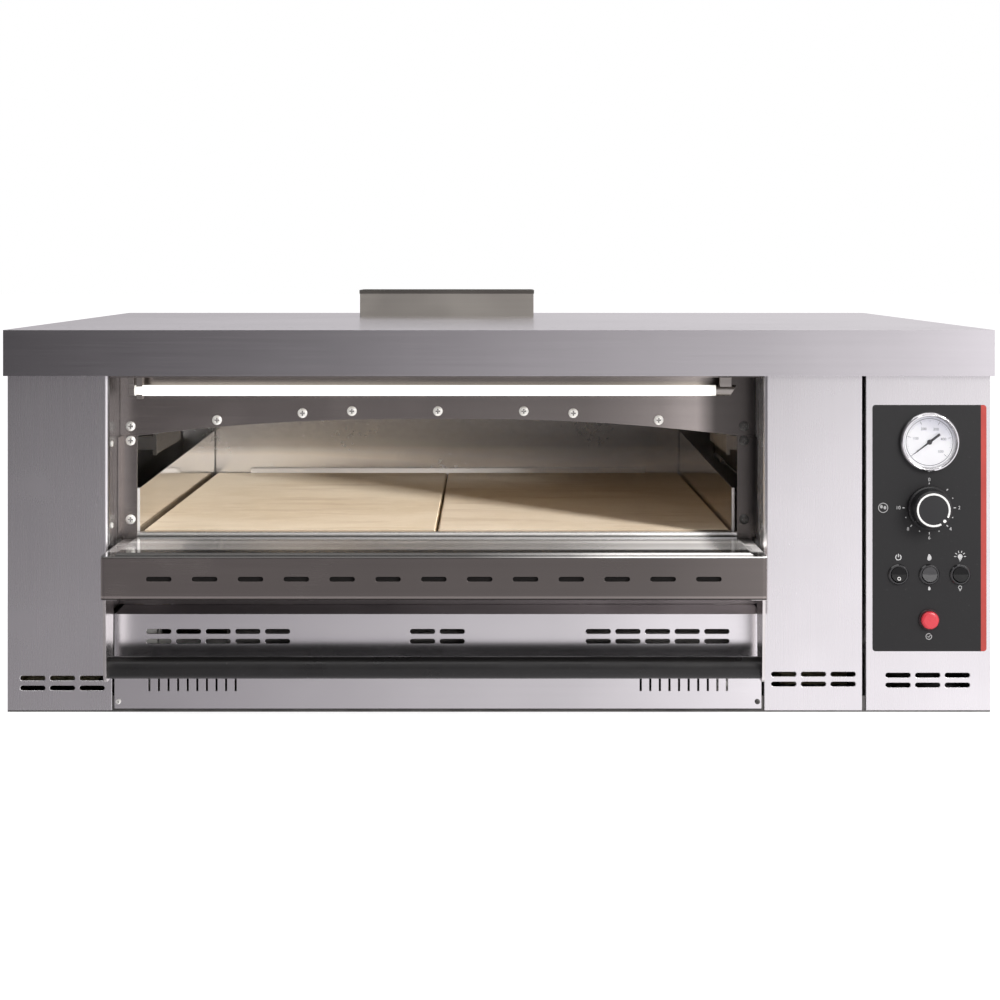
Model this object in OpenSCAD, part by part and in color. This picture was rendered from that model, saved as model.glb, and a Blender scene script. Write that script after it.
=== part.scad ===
// Single-deck gas baking oven with a drop-down door, bench model.
// Millimetres. X runs to the right, Y to the back, Z up.
// The origin is on the underside, midway across the hood and midway along its depth.
// The door is drawn open and level, which is the zero of its hinge.

/* [Hood and casing] */
// Width of the top cover
hood_w = 1000; // [998:1:1040]
// Depth of the top cover
hood_d = 790; // [780:1:830]
// Height of the front edge of the top cover
hood_face_h = 46.5; // [30:0.5:46.5]
// Height of the whole casing, without the flue collar
casing_h = 386.5; // [386:0.5:400]
// Sheet thickness of the outer panels
sheet = 1.2; // [1:0.1:1.5]
// Distance from the front of the top cover to the front panels
panel_setback = 8; // [7:0.5:10]

/* [Mouth and door] */
// Distance from the front panels back to the lintel
mouth_depth = 67; // [67:0.5:70]
// Length of the door from hinge edge to free edge
door_len = 142; // [140:1:144]
// Thickness of the door
door_t = 44.8; // [42:0.1:46]
// Diameter of the door handle tube
handle_d = 22; // [18:1:24]
// Drop from the underside of the open door to the handle axis
handle_drop = 72.6; // [60:0.1:74]

/* [Stones] */
// Size of the baking floor across both stones
floor_w = 615; // [600:1:620]
// Depth of the baking floor
floor_d = 638; // [500:2:640]
// Thickness of each stone
stone_t = 17; // [12:1:18]

/* [Flue] */
// Outer width of the flue collar
flue_w = 220; // [150:5:240]
// Outer depth of the flue collar
flue_d = 90; // [60:5:100]
// Height of the flue collar above the top cover
flue_h = 33.5; // [20:0.5:60]

/* [Controls] */
// Diameter of the thermometer bezel
gauge_d = 60; // [52:1:60]
// Diameter of the control knob
knob_d = 44; // [36:1:46]
// Diameter of the round rocker switches over their rims
switch_d = 21; // [20:0.5:24]
// Tilt of a rocker each way from its middle
rocker_tilt = 9; // [5:1:9]
// Diameter of the reset button cap
reset_d = 17.6; // [14:0.1:17.6]

/* [Mounting] */
// Diameter of the four stand bolt holes in the base
stand_hole_d = 11; // [9:1:13]
// Spacing of the stand bolt holes across the width
stand_x = 860; // [600:10:900]
// Spacing of the stand bolt holes along the depth
stand_y = 640; // [500:10:680]
// Outer diameter of the gas inlet pipe
gas_pipe_d = 20.96; // [17:0.01:22]

/* [Hidden] */
$fn = 64;
eps = 0.01;                      // overshoot of a cutting tool
gap = 0.2;                       // assembly gap between neighbouring sheets

// Casing planes
hood_front = -hood_d / 2;
panel_front = hood_front + panel_setback;
panel_back = panel_front + sheet;
body_x = 497;                    // outer face of the side panels
body_back = hood_d / 2 - panel_setback;
base_t = 1.5;
tray_flange = 16;                // height of the base tray's upturned edge
return_low = tray_flange + 0.2;  // foot of the panels' side returns
cover_z = casing_h - sheet;      // underside of the top sheet
hood_low = casing_h - hood_face_h;
hood_lip = 6.5;                  // depth of the fold along the hood's lower edge

// Mouth of the oven
mouth_l = -394.5;                // inner faces of the two reveals
mouth_r = 268;
mouth_x = (mouth_l + mouth_r) / 2;
mouth_floor = 99;                // top of the burner cover
mouth_top = 338;
lintel_y = panel_front + mouth_depth;
plate = 1.5;                     // chamber and frame sheet
bend_r = 4;                      // outside radius of a folded edge
jamb_l = -376.5;                 // clear opening between the jambs
jamb_r = 248.6;
jamb_top = 274;
arch_h = 17.5;                   // rise of the arched lintel edge
arch_flat = 40;                  // half width of the level middle of the arch
arch_half = (jamb_r - jamb_l) / 2;
arch_x = (jamb_r + jamb_l) / 2;
arch_r = (pow(arch_half - arch_flat, 2) + arch_h * arch_h) / (2 * arch_h);

// Baking chamber
chamber_l = -421;
chamber_r = 294;
chamber_low = 60;
ceiling_z = 308;
chamber_front = lintel_y + plate + gap;
stone_front = lintel_y + 15;
stone_back = stone_front + floor_d;
rear_wall_y = stone_back + 7;
stone_top = 174;
stone_low = stone_top - stone_t;
stone_l = mouth_x - 1.5 - floor_w / 2;
stone_gap = 2.4;

// Door, drawn open
door_l = -390;
door_r = 262;
door_x = (door_l + door_r) / 2;
door_top = 169.5;                // raised middle of the inner skin
door_rim = 2.5;                  // step from the raised middle down to the rim
door_low = door_top - door_t;
door_back = lintel_y - 2;
door_front = door_back - door_len;
hinge_y = door_back - 7.7;
hinge_z = door_top - 8.5;
pin_r = 3.5;
pin_clear = 0.05;
arm_t = 3;
arm_y = door_front + 37;         // middle of the handle arms
handle_z = door_low - handle_drop;
bore_tube_r = handle_d / 2 - 1.6;

// Slots pressed through the panels
slot_l = 25.5;
slot_h = 5;
slot_pitch = 30;
slot_row = 10;

// Control column
column_l = 371.4;
overlay_t = 0.6;
overlay_front = panel_front - overlay_t;
overlay_l = 378;
overlay_r = 493.2;
overlay_low = 61.3;
overlay_high = 310.4;
control_x = 435.3;
gauge_z = 273;
knob_z = 206.4;
switch_z = 138.9;
reset_z = 93.3;
switch_step = 31.2;
gauge_can_d = gauge_d - 6;
needle_rest = 232.7;             // clockwise from straight up
shaft_r = 3;
run_fit = 0.05;
rocker_r = 7.5;
rocker_room = 0.7;
trunnion_r = 1.2;
rocker_y = overlay_front - 0.8;
capillary_y = -60;

// Lamp
lamp_r = 5.6;
lamp_y = lintel_y - 30;
lamp_z = 323;
lamp_l = -374;
lamp_end = 223;

// Gas train
burner_z = 70;
burner_r = 20;
burner_step = 190;
manifold_y = lintel_y - 32;
manifold_r = 10;
gas_x = 430;
valve_y = -200;
inlet_z = 50;
partition_x = 366;

// Flue, standing over the middle of the chamber at the back
flue_y = hood_front + 575;
flue_wall = 1.5;
flue_spigot = 1.7;               // step from the collar to its spigot

// Fasteners
screw_r = 2.5;
screw_head_r = 5;
small_r = 2;
small_head_r = 3.2;
hole_slack = 0.15;

// A sheet facing front, drawn in X and Z, from y0 back by t
module front_sheet(y0, t) {
    translate([0, y0 + t, 0]) rotate([90, 0, 0]) linear_extrude(t) children();
}

// A sheet facing sideways, drawn in Y and Z, from x0 to the right by t
module side_sheet(x0, t) {
    translate([x0, 0, 0]) rotate([90, 0, 90]) linear_extrude(t) children();
}

// A box between two corners
module span(lo, hi) {
    translate(lo) cube([hi[0] - lo[0], hi[1] - lo[1], hi[2] - lo[2]]);
}

// A rectangle between two corners
module area(lo, hi) {
    translate(lo) square([hi[0] - lo[0], hi[1] - lo[1]]);
}

// A slot with round ends, lying along X
module slot(l, h) {
    square([l - h, h], center = true);
    for (s = [-1, 1]) translate([s * (l - h) / 2, 0]) circle(d = h);
}

// A grid of slots centred on x, with its top row at z
module slot_grid(x, z, cols, rows, l = slot_l, h = slot_h, pitch = slot_pitch) {
    for (c = [0 : cols - 1], r = [0 : rows - 1])
        translate([x + (c - (cols - 1) / 2) * pitch, z - r * slot_row]) slot(l, h);
}

// A row of narrow upright slots
module upright_slots(x, z, count) {
    for (c = [0 : count - 1])
        translate([x + (c - (count - 1) / 2) * 9.7, z]) square([2.2, 22], center = true);
}

// A round rod along Y
module rod_y(r, x, y0, y1, z) {
    translate([x, y1, z]) rotate([90, 0, 0]) cylinder(r = r, h = y1 - y0);
}

// A round rod along X
module rod_x(r, x0, x1, y, z) {
    translate([x0, y, z]) rotate([0, 90, 0]) cylinder(r = r, h = x1 - x0);
}

// A pan head screw whose head sits at the origin and whose shank runs to +Z
module pan_screw(r, head_r, head_h, len) {
    difference() {
        union() {
            translate([0, 0, -head_h * 0.55]) cylinder(r = head_r, h = head_h * 0.55);
            translate([0, 0, -head_h])
                cylinder(r1 = head_r * 0.62, r2 = head_r, h = head_h * 0.45);
            cylinder(r = r, h = len);
        }
        for (a = [0, 90]) rotate([0, 0, a])
            translate([-head_r * 0.5, -head_r * 0.11, -head_h - eps])
                cube([head_r, head_r * 0.22, head_h * 0.6]);
    }
}

// The same screw driven in from the front, from the left or from the right
module screw_front(p, r, head_r, head_h, len) {
    translate(p) rotate([-90, 0, 0]) pan_screw(r, head_r, head_h, len);
}
module screw_side(p, side, r, head_r, head_h, len) {
    translate(p) rotate([0, side * 90, 0]) pan_screw(r, head_r, head_h, len);
}

// Centres of the lintel and jamb screws, as X and Z
lintel_screw_at = [for (s = [[-230, 290.4], [-141, 297.7], [-89.5, 299.8], [0, 299.8],
                             [89.5, 299.8], [141, 297.7], [230, 290.4]])
                   [mouth_x + s[0], s[1]]];
jamb_screw_x = [jamb_l - 6.8, jamb_r + 7.2];
jamb_screw_z = [187, 269];
lintel_ear_z = 284;
reveal_screw_z = [187, 270];
reveal_screw_y = panel_front + 14;
cover_screw_at = [[-385, 10.3], [261.5, 10.3]];
side_screw_y = [-340, 0, 340];
side_screw_z = 8;
rear_screw_x = [-480, -160, 160, 480];
rear_screw_z = [24, 300];

// Arched part of the mouth's outline, widened by grow and cut off at side beyond the jambs
module arch_opening(grow, side) {
    intersection() {
        area([jamb_l - side, jamb_top - 1], [jamb_r + side, ceiling_z]);
        union() {
            for (s = [-1, 1])
                translate([arch_x + s * arch_flat, jamb_top + arch_h - arch_r])
                    circle(r = arch_r + grow, $fn = 200);
            area([arch_x - arch_flat, jamb_top - 2], [arch_x + arch_flat, jamb_top + arch_h + grow]);
        }
    }
}

// ---------------------------------------------------------------- casing

module base_tray() {
    side = body_x - sheet - gap;
    front = panel_back + gap;
    back = body_back - sheet - gap;
    color("dimgray") difference() {
        union() {
            span([-body_x, panel_front, 0], [body_x, body_back, base_t]);
            difference() {
                span([-side, front, base_t - eps], [side, back, tray_flange]);
                span([-side + base_t, front + base_t, 0], [side - base_t, back - base_t, tray_flange + eps]);
            }
        }
        for (x = [-1, 1], y = [-1, 1])
            translate([x * stand_x / 2, y * stand_y / 2, -eps])
                cylinder(d = stand_hole_d, h = base_t + 2 * eps);
        for (x = [-300 : 75 : 225], y = [-200, 0, 200]) {
            translate([x, y, -eps]) linear_extrude(base_t + 2 * eps) slot(50, 8);
        }
        for (x = [-1, 1], y = side_screw_y)
            rod_x(small_r + hole_slack, x * side - 2, x * side + 2, y, side_screw_z);
        for (p = cover_screw_at)
            rod_y(small_r + hole_slack, p[0], front - 1, front + base_t + 1, p[1]);
    }
}

module side_outline(vents) {
    difference() {
        area([panel_back + gap, base_t], [body_back, cover_z]);
        for (y = side_screw_y) translate([y, side_screw_z]) circle(r = small_r + hole_slack);
        for (y = [-250, 230]) translate([y, 0]) slot_grid(0, 38, 5, 2);
        if (vents) slot_grid(230, 320, 5, 3);
    }
}

module left_side_panel() {
    color("silver") side_sheet(-body_x, sheet) side_outline(false);
}

module right_side_panel() {
    color("silver") side_sheet(body_x - sheet, sheet) side_outline(true);
}

module rear_panel() {
    w = body_x - sheet - gap;
    color("silver") difference() {
        front_sheet(body_back - sheet, sheet) difference() {
            area([-w, base_t], [w, cover_z]);
            slot_grid(-240, 330, 7, 3);
            slot_grid(180, 330, 7, 3);
            slot_grid(-63, 60, 9, 2);
            translate([gas_x, inlet_z]) circle(d = gas_pipe_d + 2);
            translate([gas_x, inlet_z + 70]) circle(d = 20);
            for (x = rear_screw_x, z = rear_screw_z) translate([x, z]) circle(r = small_r + hole_slack);
        }
    }
}

module top_cover() {
    half = hood_w / 2;
    vent_pitch = 23.2;
    vent_n = 42;
    color("silver") difference() {
        union() {
            span([-half, hood_front, cover_z], [half, -hood_front, casing_h]);
            difference() {
                span([-half, hood_front, hood_low], [half, -hood_front, cover_z + eps]);
                span([-half + sheet, hood_front + sheet, hood_low - eps],
                     [half - sheet, -hood_front - sheet, casing_h]);
            }
            span([-half + eps, hood_front + eps, hood_low],
                 [half - eps, hood_front + hood_lip, hood_low + sheet]);
        }
        for (i = [0 : vent_n - 1])
            translate([(i - (vent_n - 1) / 2) * vent_pitch, hood_front + 100, cover_z - 1])
                cylinder(d = 5, h = sheet + 2);
        translate([mouth_x, flue_y + flue_d / 2, casing_h])
            cube([flue_w - 2 * flue_spigot + 1, flue_d - 2 * flue_spigot + 1, 10], center = true);
    }
}

module rect_tube(w, d, z0, z1, wall) {
    translate([mouth_x, flue_y + flue_d / 2, z0]) linear_extrude(z1 - z0) difference() {
        square([w, d], center = true);
        square([w - 2 * wall, d - 2 * wall], center = true);
    }
}

module flue_collar() {
    hem = 4.4;
    spigot_low = casing_h - 20;
    color("darkkhaki") union() {
        rect_tube(flue_w, flue_d, casing_h, casing_h + flue_h, flue_wall);
        rect_tube(flue_w + 1.2, flue_d + 1.2, casing_h + flue_h - hem, casing_h + flue_h, 1);
        rect_tube(flue_w - 2 * flue_spigot, flue_d - 2 * flue_spigot, spigot_low,
                  casing_h + 6, flue_wall);
        rect_tube(flue_w - eps, flue_d - eps, casing_h, casing_h + 6, flue_wall + 0.4);
    }
}

module flue_duct() {
    color("gray") rect_tube(flue_w, flue_d, ceiling_z + plate, cover_z, plate);
}

// ---------------------------------------------------------------- front panels

// Section in X and Y of a front panel that folds back into a reveal.
// side = 1 puts the fold on the right-hand edge of the panel.
module folded_front(outer_x, fold_x, side) {
    in_r = bend_r - sheet;
    cx = fold_x - side * bend_r;
    cy = panel_front + bend_r;
    leg = side > 0 ? fold_x - sheet : fold_x;
    area([min(outer_x, cx), panel_front], [max(outer_x, cx), panel_back]);
    area([leg, cy], [leg + sheet, lintel_y - gap]);
    intersection() {
        difference() {
            translate([cx, cy]) circle(r = bend_r);
            translate([cx, cy]) circle(r = in_r);
        }
        area([side > 0 ? cx : cx - bend_r, panel_front], [side > 0 ? cx + bend_r : cx, cy]);
    }
}

module reveal_holes(x) {
    for (z = reveal_screw_z)
        rod_x(small_r + hole_slack, x - 3, x + 3, reveal_screw_y, z);
    rod_x(7, x - 3, x + 3, hinge_y, hinge_z);
}

module front_left_panel() {
    low_edge = -391.4;
    color("slategray") difference() {
        union() {
            translate([0, 0, mouth_floor]) linear_extrude(cover_z - mouth_floor)
                folded_front(-body_x, mouth_l, 1);
            span([-body_x, panel_front, base_t], [low_edge, panel_back, mouth_floor + eps]);
            span([low_edge - sheet, panel_front, return_low], [low_edge, panel_front + 14, mouth_floor]);
        }
        front_sheet(panel_front - 1, sheet + 2) slot_grid(-441.5, 34, 3, 2);
        reveal_holes(mouth_l);
    }
}

module front_right_panel() {
    right_edge = 367.4;
    left_edge = 268.5;
    color("lightgray") difference() {
        union() {
            translate([0, 0, mouth_floor]) linear_extrude(cover_z - mouth_floor)
                folded_front(right_edge, mouth_r, -1);
            span([left_edge, panel_front, base_t], [right_edge, panel_back, mouth_floor + eps]);
            span([left_edge, panel_front, return_low], [left_edge + sheet, panel_front + 14, mouth_floor]);
            span([right_edge - sheet, panel_front, return_low], [right_edge, panel_front + 14, cover_z]);
        }
        front_sheet(panel_front - 1, sheet + 2) slot_grid(318.2, 38, 3, 2);
        reveal_holes(mouth_r);
    }
}

module control_column() {
    color("whitesmoke") difference() {
        union() {
            span([column_l, panel_front, base_t], [body_x, panel_back, cover_z]);
            span([column_l, panel_front, return_low], [column_l + sheet, panel_front + 14, cover_z]);
        }
        front_sheet(panel_front - 1, sheet + 2) {
            slot_grid(433.8, 37, 3, 2);
            translate([control_x, gauge_z]) circle(d = gauge_can_d + 1);
            translate([control_x, knob_z]) circle(r = 5.5);
            for (s = [-1 : 1]) translate([control_x + s * switch_step, switch_z]) circle(d = switch_d - 2);
            translate([control_x, reset_z]) circle(d = reset_d + 2);
        }
    }
}

module control_overlay() {
    corner = 3;
    color("black") front_sheet(overlay_front, overlay_t) difference() {
        union() {
            area([overlay_l + corner, overlay_low], [overlay_r - corner, overlay_high]);
            area([overlay_l, overlay_low + corner], [overlay_r, overlay_high - corner]);
            for (x = [overlay_l + corner, overlay_r - corner], z = [overlay_low + corner, overlay_high - corner])
                translate([x, z]) circle(r = corner);
        }
        translate([control_x, gauge_z]) circle(d = gauge_can_d + 1);
        translate([control_x, knob_z]) circle(r = 5.5);
        for (s = [-1 : 1]) translate([control_x + s * switch_step, switch_z]) circle(d = switch_d - 2);
        translate([control_x, reset_z]) circle(d = reset_d + 2);
    }
}

module burner_cover() {
    l = -388.9;
    r = 265.6;
    low = 3.3;
    high = mouth_floor - 0.1;
    color("lightsteelblue") difference() {
        union() {
            span([l, panel_front, low], [r, panel_back, high]);
            span([l, panel_front, high - sheet], [r, lintel_y - 3, high]);
        }
        front_sheet(panel_front - 1, sheet + 2) {
            slot_grid(-284, 81.3, 5, 2);
            slot_grid(-62.2, 81.3, 2, 2);
            slot_grid(160.5, 81.3, 5, 2);
            upright_slots(-310, 32, 10);
            upright_slots(187.1, 32, 10);
            for (p = cover_screw_at) translate(p) circle(r = small_r + hole_slack);
        }
    }
}

// ---------------------------------------------------------------- mouth

module hinge_beam() {
    stop_y = door_back + 0.5;
    color("dimgray") union() {
        span([mouth_l + gap, stop_y, mouth_floor], [mouth_r - gap, stop_y + sheet, 150]);
        span([mouth_l + gap, stop_y, mouth_floor], [mouth_r - gap, stone_front + 1, mouth_floor + sheet]);
    }
}

module threshold() {
    front = lintel_y + plate;
    color("silver") union() {
        span([mouth_l + gap, front, 120], [mouth_r - gap, front + sheet, stone_top - 1]);
        span([mouth_l + gap, front, stone_top - 1 - sheet], [mouth_r - gap, stone_front - 1, stone_top - 1]);
    }
}

module soffit() {
    color("gray") union() {
        span([mouth_l + gap, panel_front + 2, mouth_top], [mouth_r - gap, lintel_y - gap, mouth_top + sheet]);
        span([mouth_l + gap, panel_front + 2, mouth_top], [mouth_r - gap, panel_front + 2 + sheet, cover_z - 1]);
    }
}

module lintel() {
    color("gray") front_sheet(lintel_y, plate) difference() {
        area([mouth_l + gap, jamb_top], [mouth_r - gap, mouth_top - gap]);
        arch_opening(0, 10);
        for (p = lintel_screw_at) translate(p) circle(r = screw_r + hole_slack);
        for (x = jamb_screw_x) translate([x, lintel_ear_z]) circle(r = screw_r + hole_slack);
    }
}

// A jamb strip with a flange lying forward against its reveal
module jamb(inner, wall, side) {
    flange_low = stone_top;
    edge = wall + side * gap;
    color("gray") difference() {
        union() {
            span([min(inner, edge), lintel_y, 150 + gap], [max(inner, edge), lintel_y + plate, jamb_top - gap]);
            span([min(edge, edge + side * plate), lintel_y - 16, flange_low],
                 [max(edge, edge + side * plate), lintel_y + eps, jamb_top - gap]);
        }
        for (x = jamb_screw_x, z = jamb_screw_z)
            rod_y(screw_r + hole_slack, x, lintel_y - 1, lintel_y + plate + 1, z);
    }
}

module left_jamb() { jamb(jamb_l, mouth_l, 1); }

module right_jamb() { jamb(jamb_r, mouth_r, -1); }

// ---------------------------------------------------------------- inner frame and chamber

module partition() {
    color("gray") difference() {
        side_sheet(partition_x - sheet, sheet)
            area([panel_front + 16, return_low], [body_back - sheet - 2, cover_z - gap]);
        rod_x(manifold_r + 2, partition_x - 5, partition_x + 5, manifold_y, burner_z);
        rod_x(4, partition_x - 5, partition_x + 5, capillary_y, knob_z);
    }
}

module chamber_shell() {
    front = chamber_front;
    color("darkgray") difference() {
        union() {
            span([chamber_l, front, chamber_low], [chamber_l + plate, rear_wall_y, ceiling_z + plate]);
            span([chamber_r - plate, front, chamber_low], [chamber_r, rear_wall_y, ceiling_z + plate]);
            span([chamber_l, front, ceiling_z], [chamber_r, rear_wall_y, ceiling_z + plate]);
            front_sheet(front, plate) difference() {
                area([chamber_l, stone_top + 2], [chamber_r, ceiling_z + plate]);
                area([jamb_l - 1, 100], [jamb_r + 1, jamb_top]);
                arch_opening(1, 1);
            }
        }
        translate([mouth_x, flue_y + flue_d / 2, ceiling_z])
            cube([flue_w - 2 * plate, flue_d - 2 * plate, 10], center = true);
        for (p = lintel_screw_at) rod_y(screw_r + hole_slack, p[0], front - 1, front + plate + 1, p[1]);
        for (x = jamb_screw_x, z = concat(jamb_screw_z, [lintel_ear_z]))
            rod_y(screw_r + hole_slack, x, front - 1, front + plate + 1, z);
        rod_x(4, chamber_r - 4, chamber_r + 2, capillary_y, knob_z);
    }
}

module chamber_rear_wall() {
    color("darkgray")
        span([chamber_l, rear_wall_y + 0.1, 12], [chamber_r, rear_wall_y + plate, ceiling_z + plate]);
}

module stone(x0, w) {
    edge = 1.2;
    color("bisque") union() {
        span([x0, stone_front, stone_low], [x0 + w, stone_back, stone_top - edge]);
        span([x0 + edge, stone_front + edge, stone_low + 1], [x0 + w - edge, stone_back - edge, stone_top]);
    }
}

module left_stone() { stone(stone_l, (floor_w - stone_gap) / 2); }

module right_stone() { stone(stone_l + (floor_w + stone_gap) / 2, (floor_w - stone_gap) / 2); }

module stone_rack() {
    l = stone_l;
    r = stone_l + floor_w;
    top = stone_low - 0.1;
    bar = 5;
    leg = 14;
    back = stone_back;
    color("dimgray") union() {
        span([l, stone_front, top - bar], [l + 24, back, top]);
        span([r - 24, stone_front, top - bar], [r, back, top]);
        span([mouth_x - 10, stone_front, top - bar], [mouth_x + 10, back, top]);
        span([l, stone_front, top - bar], [r, stone_front + 20, top]);
        span([l, back - 20, top - bar], [r, back, top]);
        for (x = [l, r - leg], y = [stone_front + 2, back - leg - 2])
            span([x, y, base_t], [x + leg, y + leg, top - 1]);
        for (y = [stone_front + 60, back - 80])
            span([l + 1, y, burner_z - burner_r - 8], [r - 1, y + 12, burner_z - burner_r]);
        for (x = [l + 1, r - 9], y = [stone_front + 60, back - 80])
            span([x, y, burner_z - burner_r - 8], [x + 8, y + 12, top - 1]);
        span([mouth_x - 265, back + 1, top - bar], [mouth_x + 262, back + 3, stone_top + 6]);
        span([mouth_x - 265, back - 1, top - bar], [mouth_x + 262, back + 2, top]);
    }
}

// Upright plate beside the stones, a little higher at the back, with a folded hem at its front.
// face is its side towards the stones and side = 1 puts the plate to the right of it.
module flame_guard(face, side) {
    front = stone_front + 2;
    back = stone_back - 1;
    low = stone_low - 10;
    front_high = stone_top + 44;
    back_high = stone_top + 56;
    hem = 3;
    hem_l = 7;
    hem_high = front_high + (back_high - front_high) * hem_l / (back - front);
    color("silver") union() {
        side_sheet(side > 0 ? face : face - sheet, sheet)
            polygon([[front, low], [back, low], [back, back_high], [front, front_high]]);
        side_sheet(side > 0 ? face : face - hem, hem)
            polygon([[front, low], [front + hem_l, low], [front + hem_l, hem_high], [front, front_high]]);
    }
}

module left_flame_guard() { flame_guard(stone_l - 4, -1); }

module right_flame_guard() { flame_guard(stone_l + floor_w + 2, 1); }

// Rail hung from one side wall of the chamber above its flame guard
module side_rail(wall, side) {
    reach = 30;
    low = 237;
    high = 262;
    y0 = lintel_y + 196;
    y1 = y0 + 214;
    web = wall + side * reach;
    lip = web + side * 4;
    base = wall + side * 0.1;
    span([min(web, web + side * plate), y0, low], [max(web, web + side * plate), y1, high]);
    span([min(web, lip), y0, low], [max(web, lip), y0 + plate, high]);
    for (y = [y0, y1 - plate])
        span([min(base, web + side), y, low + 6], [max(base, web + side), y + plate, high - 4]);
    span([min(base, base + side * plate), y0, low + 6], [max(base, base + side * plate), y1, high - 4]);
}

module side_rails() {
    color("darkgray") {
        side_rail(chamber_l + plate, 1);
        side_rail(chamber_r - plate, -1);
    }
}

module chamber_insulation() {
    back = body_back - sheet - 6;
    front = chamber_front + 3;
    color("khaki") {
        span([-body_x + sheet + 2, front, 14], [chamber_l - 1, back, cover_z - 2]);
        difference() {
            span([chamber_r + 1, front, 14], [partition_x - sheet - 1, back, cover_z - 2]);
            rod_x(4, chamber_r, partition_x, capillary_y, knob_z);
        }
        span([chamber_l + 1, rear_wall_y + 3, 14], [chamber_r - 1, back, ceiling_z]);
        difference() {
            span([chamber_l + 1, front, ceiling_z + 3], [chamber_r - 1, back, cover_z - 2]);
            translate([mouth_x, flue_y + flue_d / 2, cover_z])
                cube([flue_w + 2, flue_d + 2, 200], center = true);
        }
    }
}

// ---------------------------------------------------------------- gas train

module burner(x) {
    y0 = stone_front - 2;
    y1 = stone_back - 40;
    throat = 9;
    difference() {
        union() {
            rod_y(burner_r, x, y0 + 40, y1, burner_z);
            translate([x, y0 + 42, burner_z]) rotate([90, 0, 0])
                cylinder(r1 = burner_r, r2 = burner_r - 4, h = 34);
        }
        rod_y(throat, x, y0 - 1, y0 + 60, burner_z);
        rod_y(burner_r - 1.5, x, y0 + 59, y1 - 2, burner_z);
        for (i = [0 : 17], s = [-1, 1])
            translate([x + s * 9, y0 + 80 + i * 26, burner_z + burner_r])
                cube([3, 14, 12], center = true);
    }
}

module burners() {
    color("gray") for (s = [-1 : 1]) burner(mouth_x + s * burner_step);
}

module gas_manifold() {
    x0 = mouth_x - burner_step - 25;
    bore = manifold_r - 2;
    color("dimgray") difference() {
        union() {
            rod_x(manifold_r, x0, gas_x, manifold_y, burner_z);
            rod_y(manifold_r, gas_x, manifold_y, valve_y, burner_z);
            translate([gas_x, manifold_y, burner_z]) sphere(r = manifold_r);
            for (s = [-1 : 1]) rod_y(8, mouth_x + s * burner_step, manifold_y, manifold_y + 13, burner_z);
        }
        rod_x(bore, x0 + 3, gas_x, manifold_y, burner_z);
        rod_y(bore, gas_x, manifold_y, valve_y + 1, burner_z);
        for (s = [-1 : 1]) rod_y(3, mouth_x + s * burner_step, manifold_y, manifold_y + 14, burner_z);
    }
}

module injectors() {
    y0 = manifold_y + 13;
    color("goldenrod") for (s = [-1 : 1]) difference() {
        union() {
            translate([mouth_x + s * burner_step, y0 + 9, burner_z]) rotate([90, 0, 0])
                cylinder(d = 15, h = 9, $fn = 6);
            rod_y(4, mouth_x + s * burner_step, y0 + 8, y0 + 17, burner_z);
        }
        rod_y(1.1, mouth_x + s * burner_step, y0 - 1, y0 + 20, burner_z);
    }
}

module spark_electrode() {
    x = mouth_x + burner_step - 34;
    y = stone_front + 90;
    color("ivory") union() {
        translate([x, y, burner_z + 8]) cylinder(r = 4, h = 28);
        translate([x, y, burner_z - 6]) cylinder(r = 2.5, h = 60);
        translate([x, y, burner_z + 52]) rotate([0, 90, 0]) cylinder(r = 1.4, h = 16);
        span([x - 10, y + 5, burner_z + 16], [x + 10, y + 7, burner_z + 26]);
        span([x - 6, y, burner_z + 18], [x + 6, y + 6, burner_z + 24]);
    }
}

module gas_valve() {
    y1 = valve_y + 90;
    color("darkgray") difference() {
        union() {
            span([gas_x - 30, valve_y, 26], [gas_x + 30, y1, 96]);
            for (y = [valve_y + 24, valve_y + 64])
                translate([gas_x, y, 95]) cylinder(r = 14, h = 40);
            translate([gas_x, valve_y + 44, 95]) cylinder(r = 5, h = 16);
        }
        rod_y(7, gas_x, valve_y - 1, valve_y + 20, burner_z);
        rod_y(7, gas_x, y1 - 20, y1 + 1, inlet_z);
    }
}

module gas_inlet() {
    y0 = valve_y + 90;
    y1 = hood_d / 2 + 15;
    flange_y = body_back;
    color("goldenrod") difference() {
        union() {
            rod_y(gas_pipe_d / 2, gas_x, y0, y1, inlet_z);
            translate([gas_x, flange_y + 4, inlet_z]) rotate([90, 0, 0]) cylinder(d = 32, h = 4, $fn = 6);
        }
        rod_y(gas_pipe_d / 2 - 2.6, gas_x, y0 - 1, y1 + 1, inlet_z);
    }
}

module ignition_box() {
    color("white") union() {
        span([partition_x + 2, -40, 150], [partition_x + 42, 90, 240]);
        span([partition_x + 0.2, -52, 152], [partition_x + 2.5, 102, 238]);
        for (y = [-20 : 22 : 68]) span([partition_x + 41, y, 160], [partition_x + 50, y + 12, 176]);
    }
}

// ---------------------------------------------------------------- controls

module thermostat() {
    back = panel_back + 42;
    neck = panel_back + gap;
    bulb_y = 140;
    color("gainsboro") difference() {
        union() {
            span([control_x - 22, neck + 8, knob_z - 22], [control_x + 22, back, knob_z + 22]);
            rod_y(5, control_x, overlay_front + 0.3, neck + 9, knob_z);
            rod_y(1, control_x - 12, back - 1, capillary_y, knob_z);
            rod_x(1, chamber_r - 12, control_x - 12, capillary_y, knob_z);
            translate([control_x - 12, capillary_y, knob_z]) sphere(r = 1);
            translate([chamber_r - 12, capillary_y, knob_z]) sphere(r = 1);
            rod_y(1, chamber_r - 12, capillary_y, bulb_y, knob_z);
            rod_y(3, chamber_r - 12, bulb_y - 1, bulb_y + 90, knob_z);
        }
        rod_y(shaft_r + run_fit, control_x, overlay_front - 1, neck + 26, knob_z);
    }
}

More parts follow.
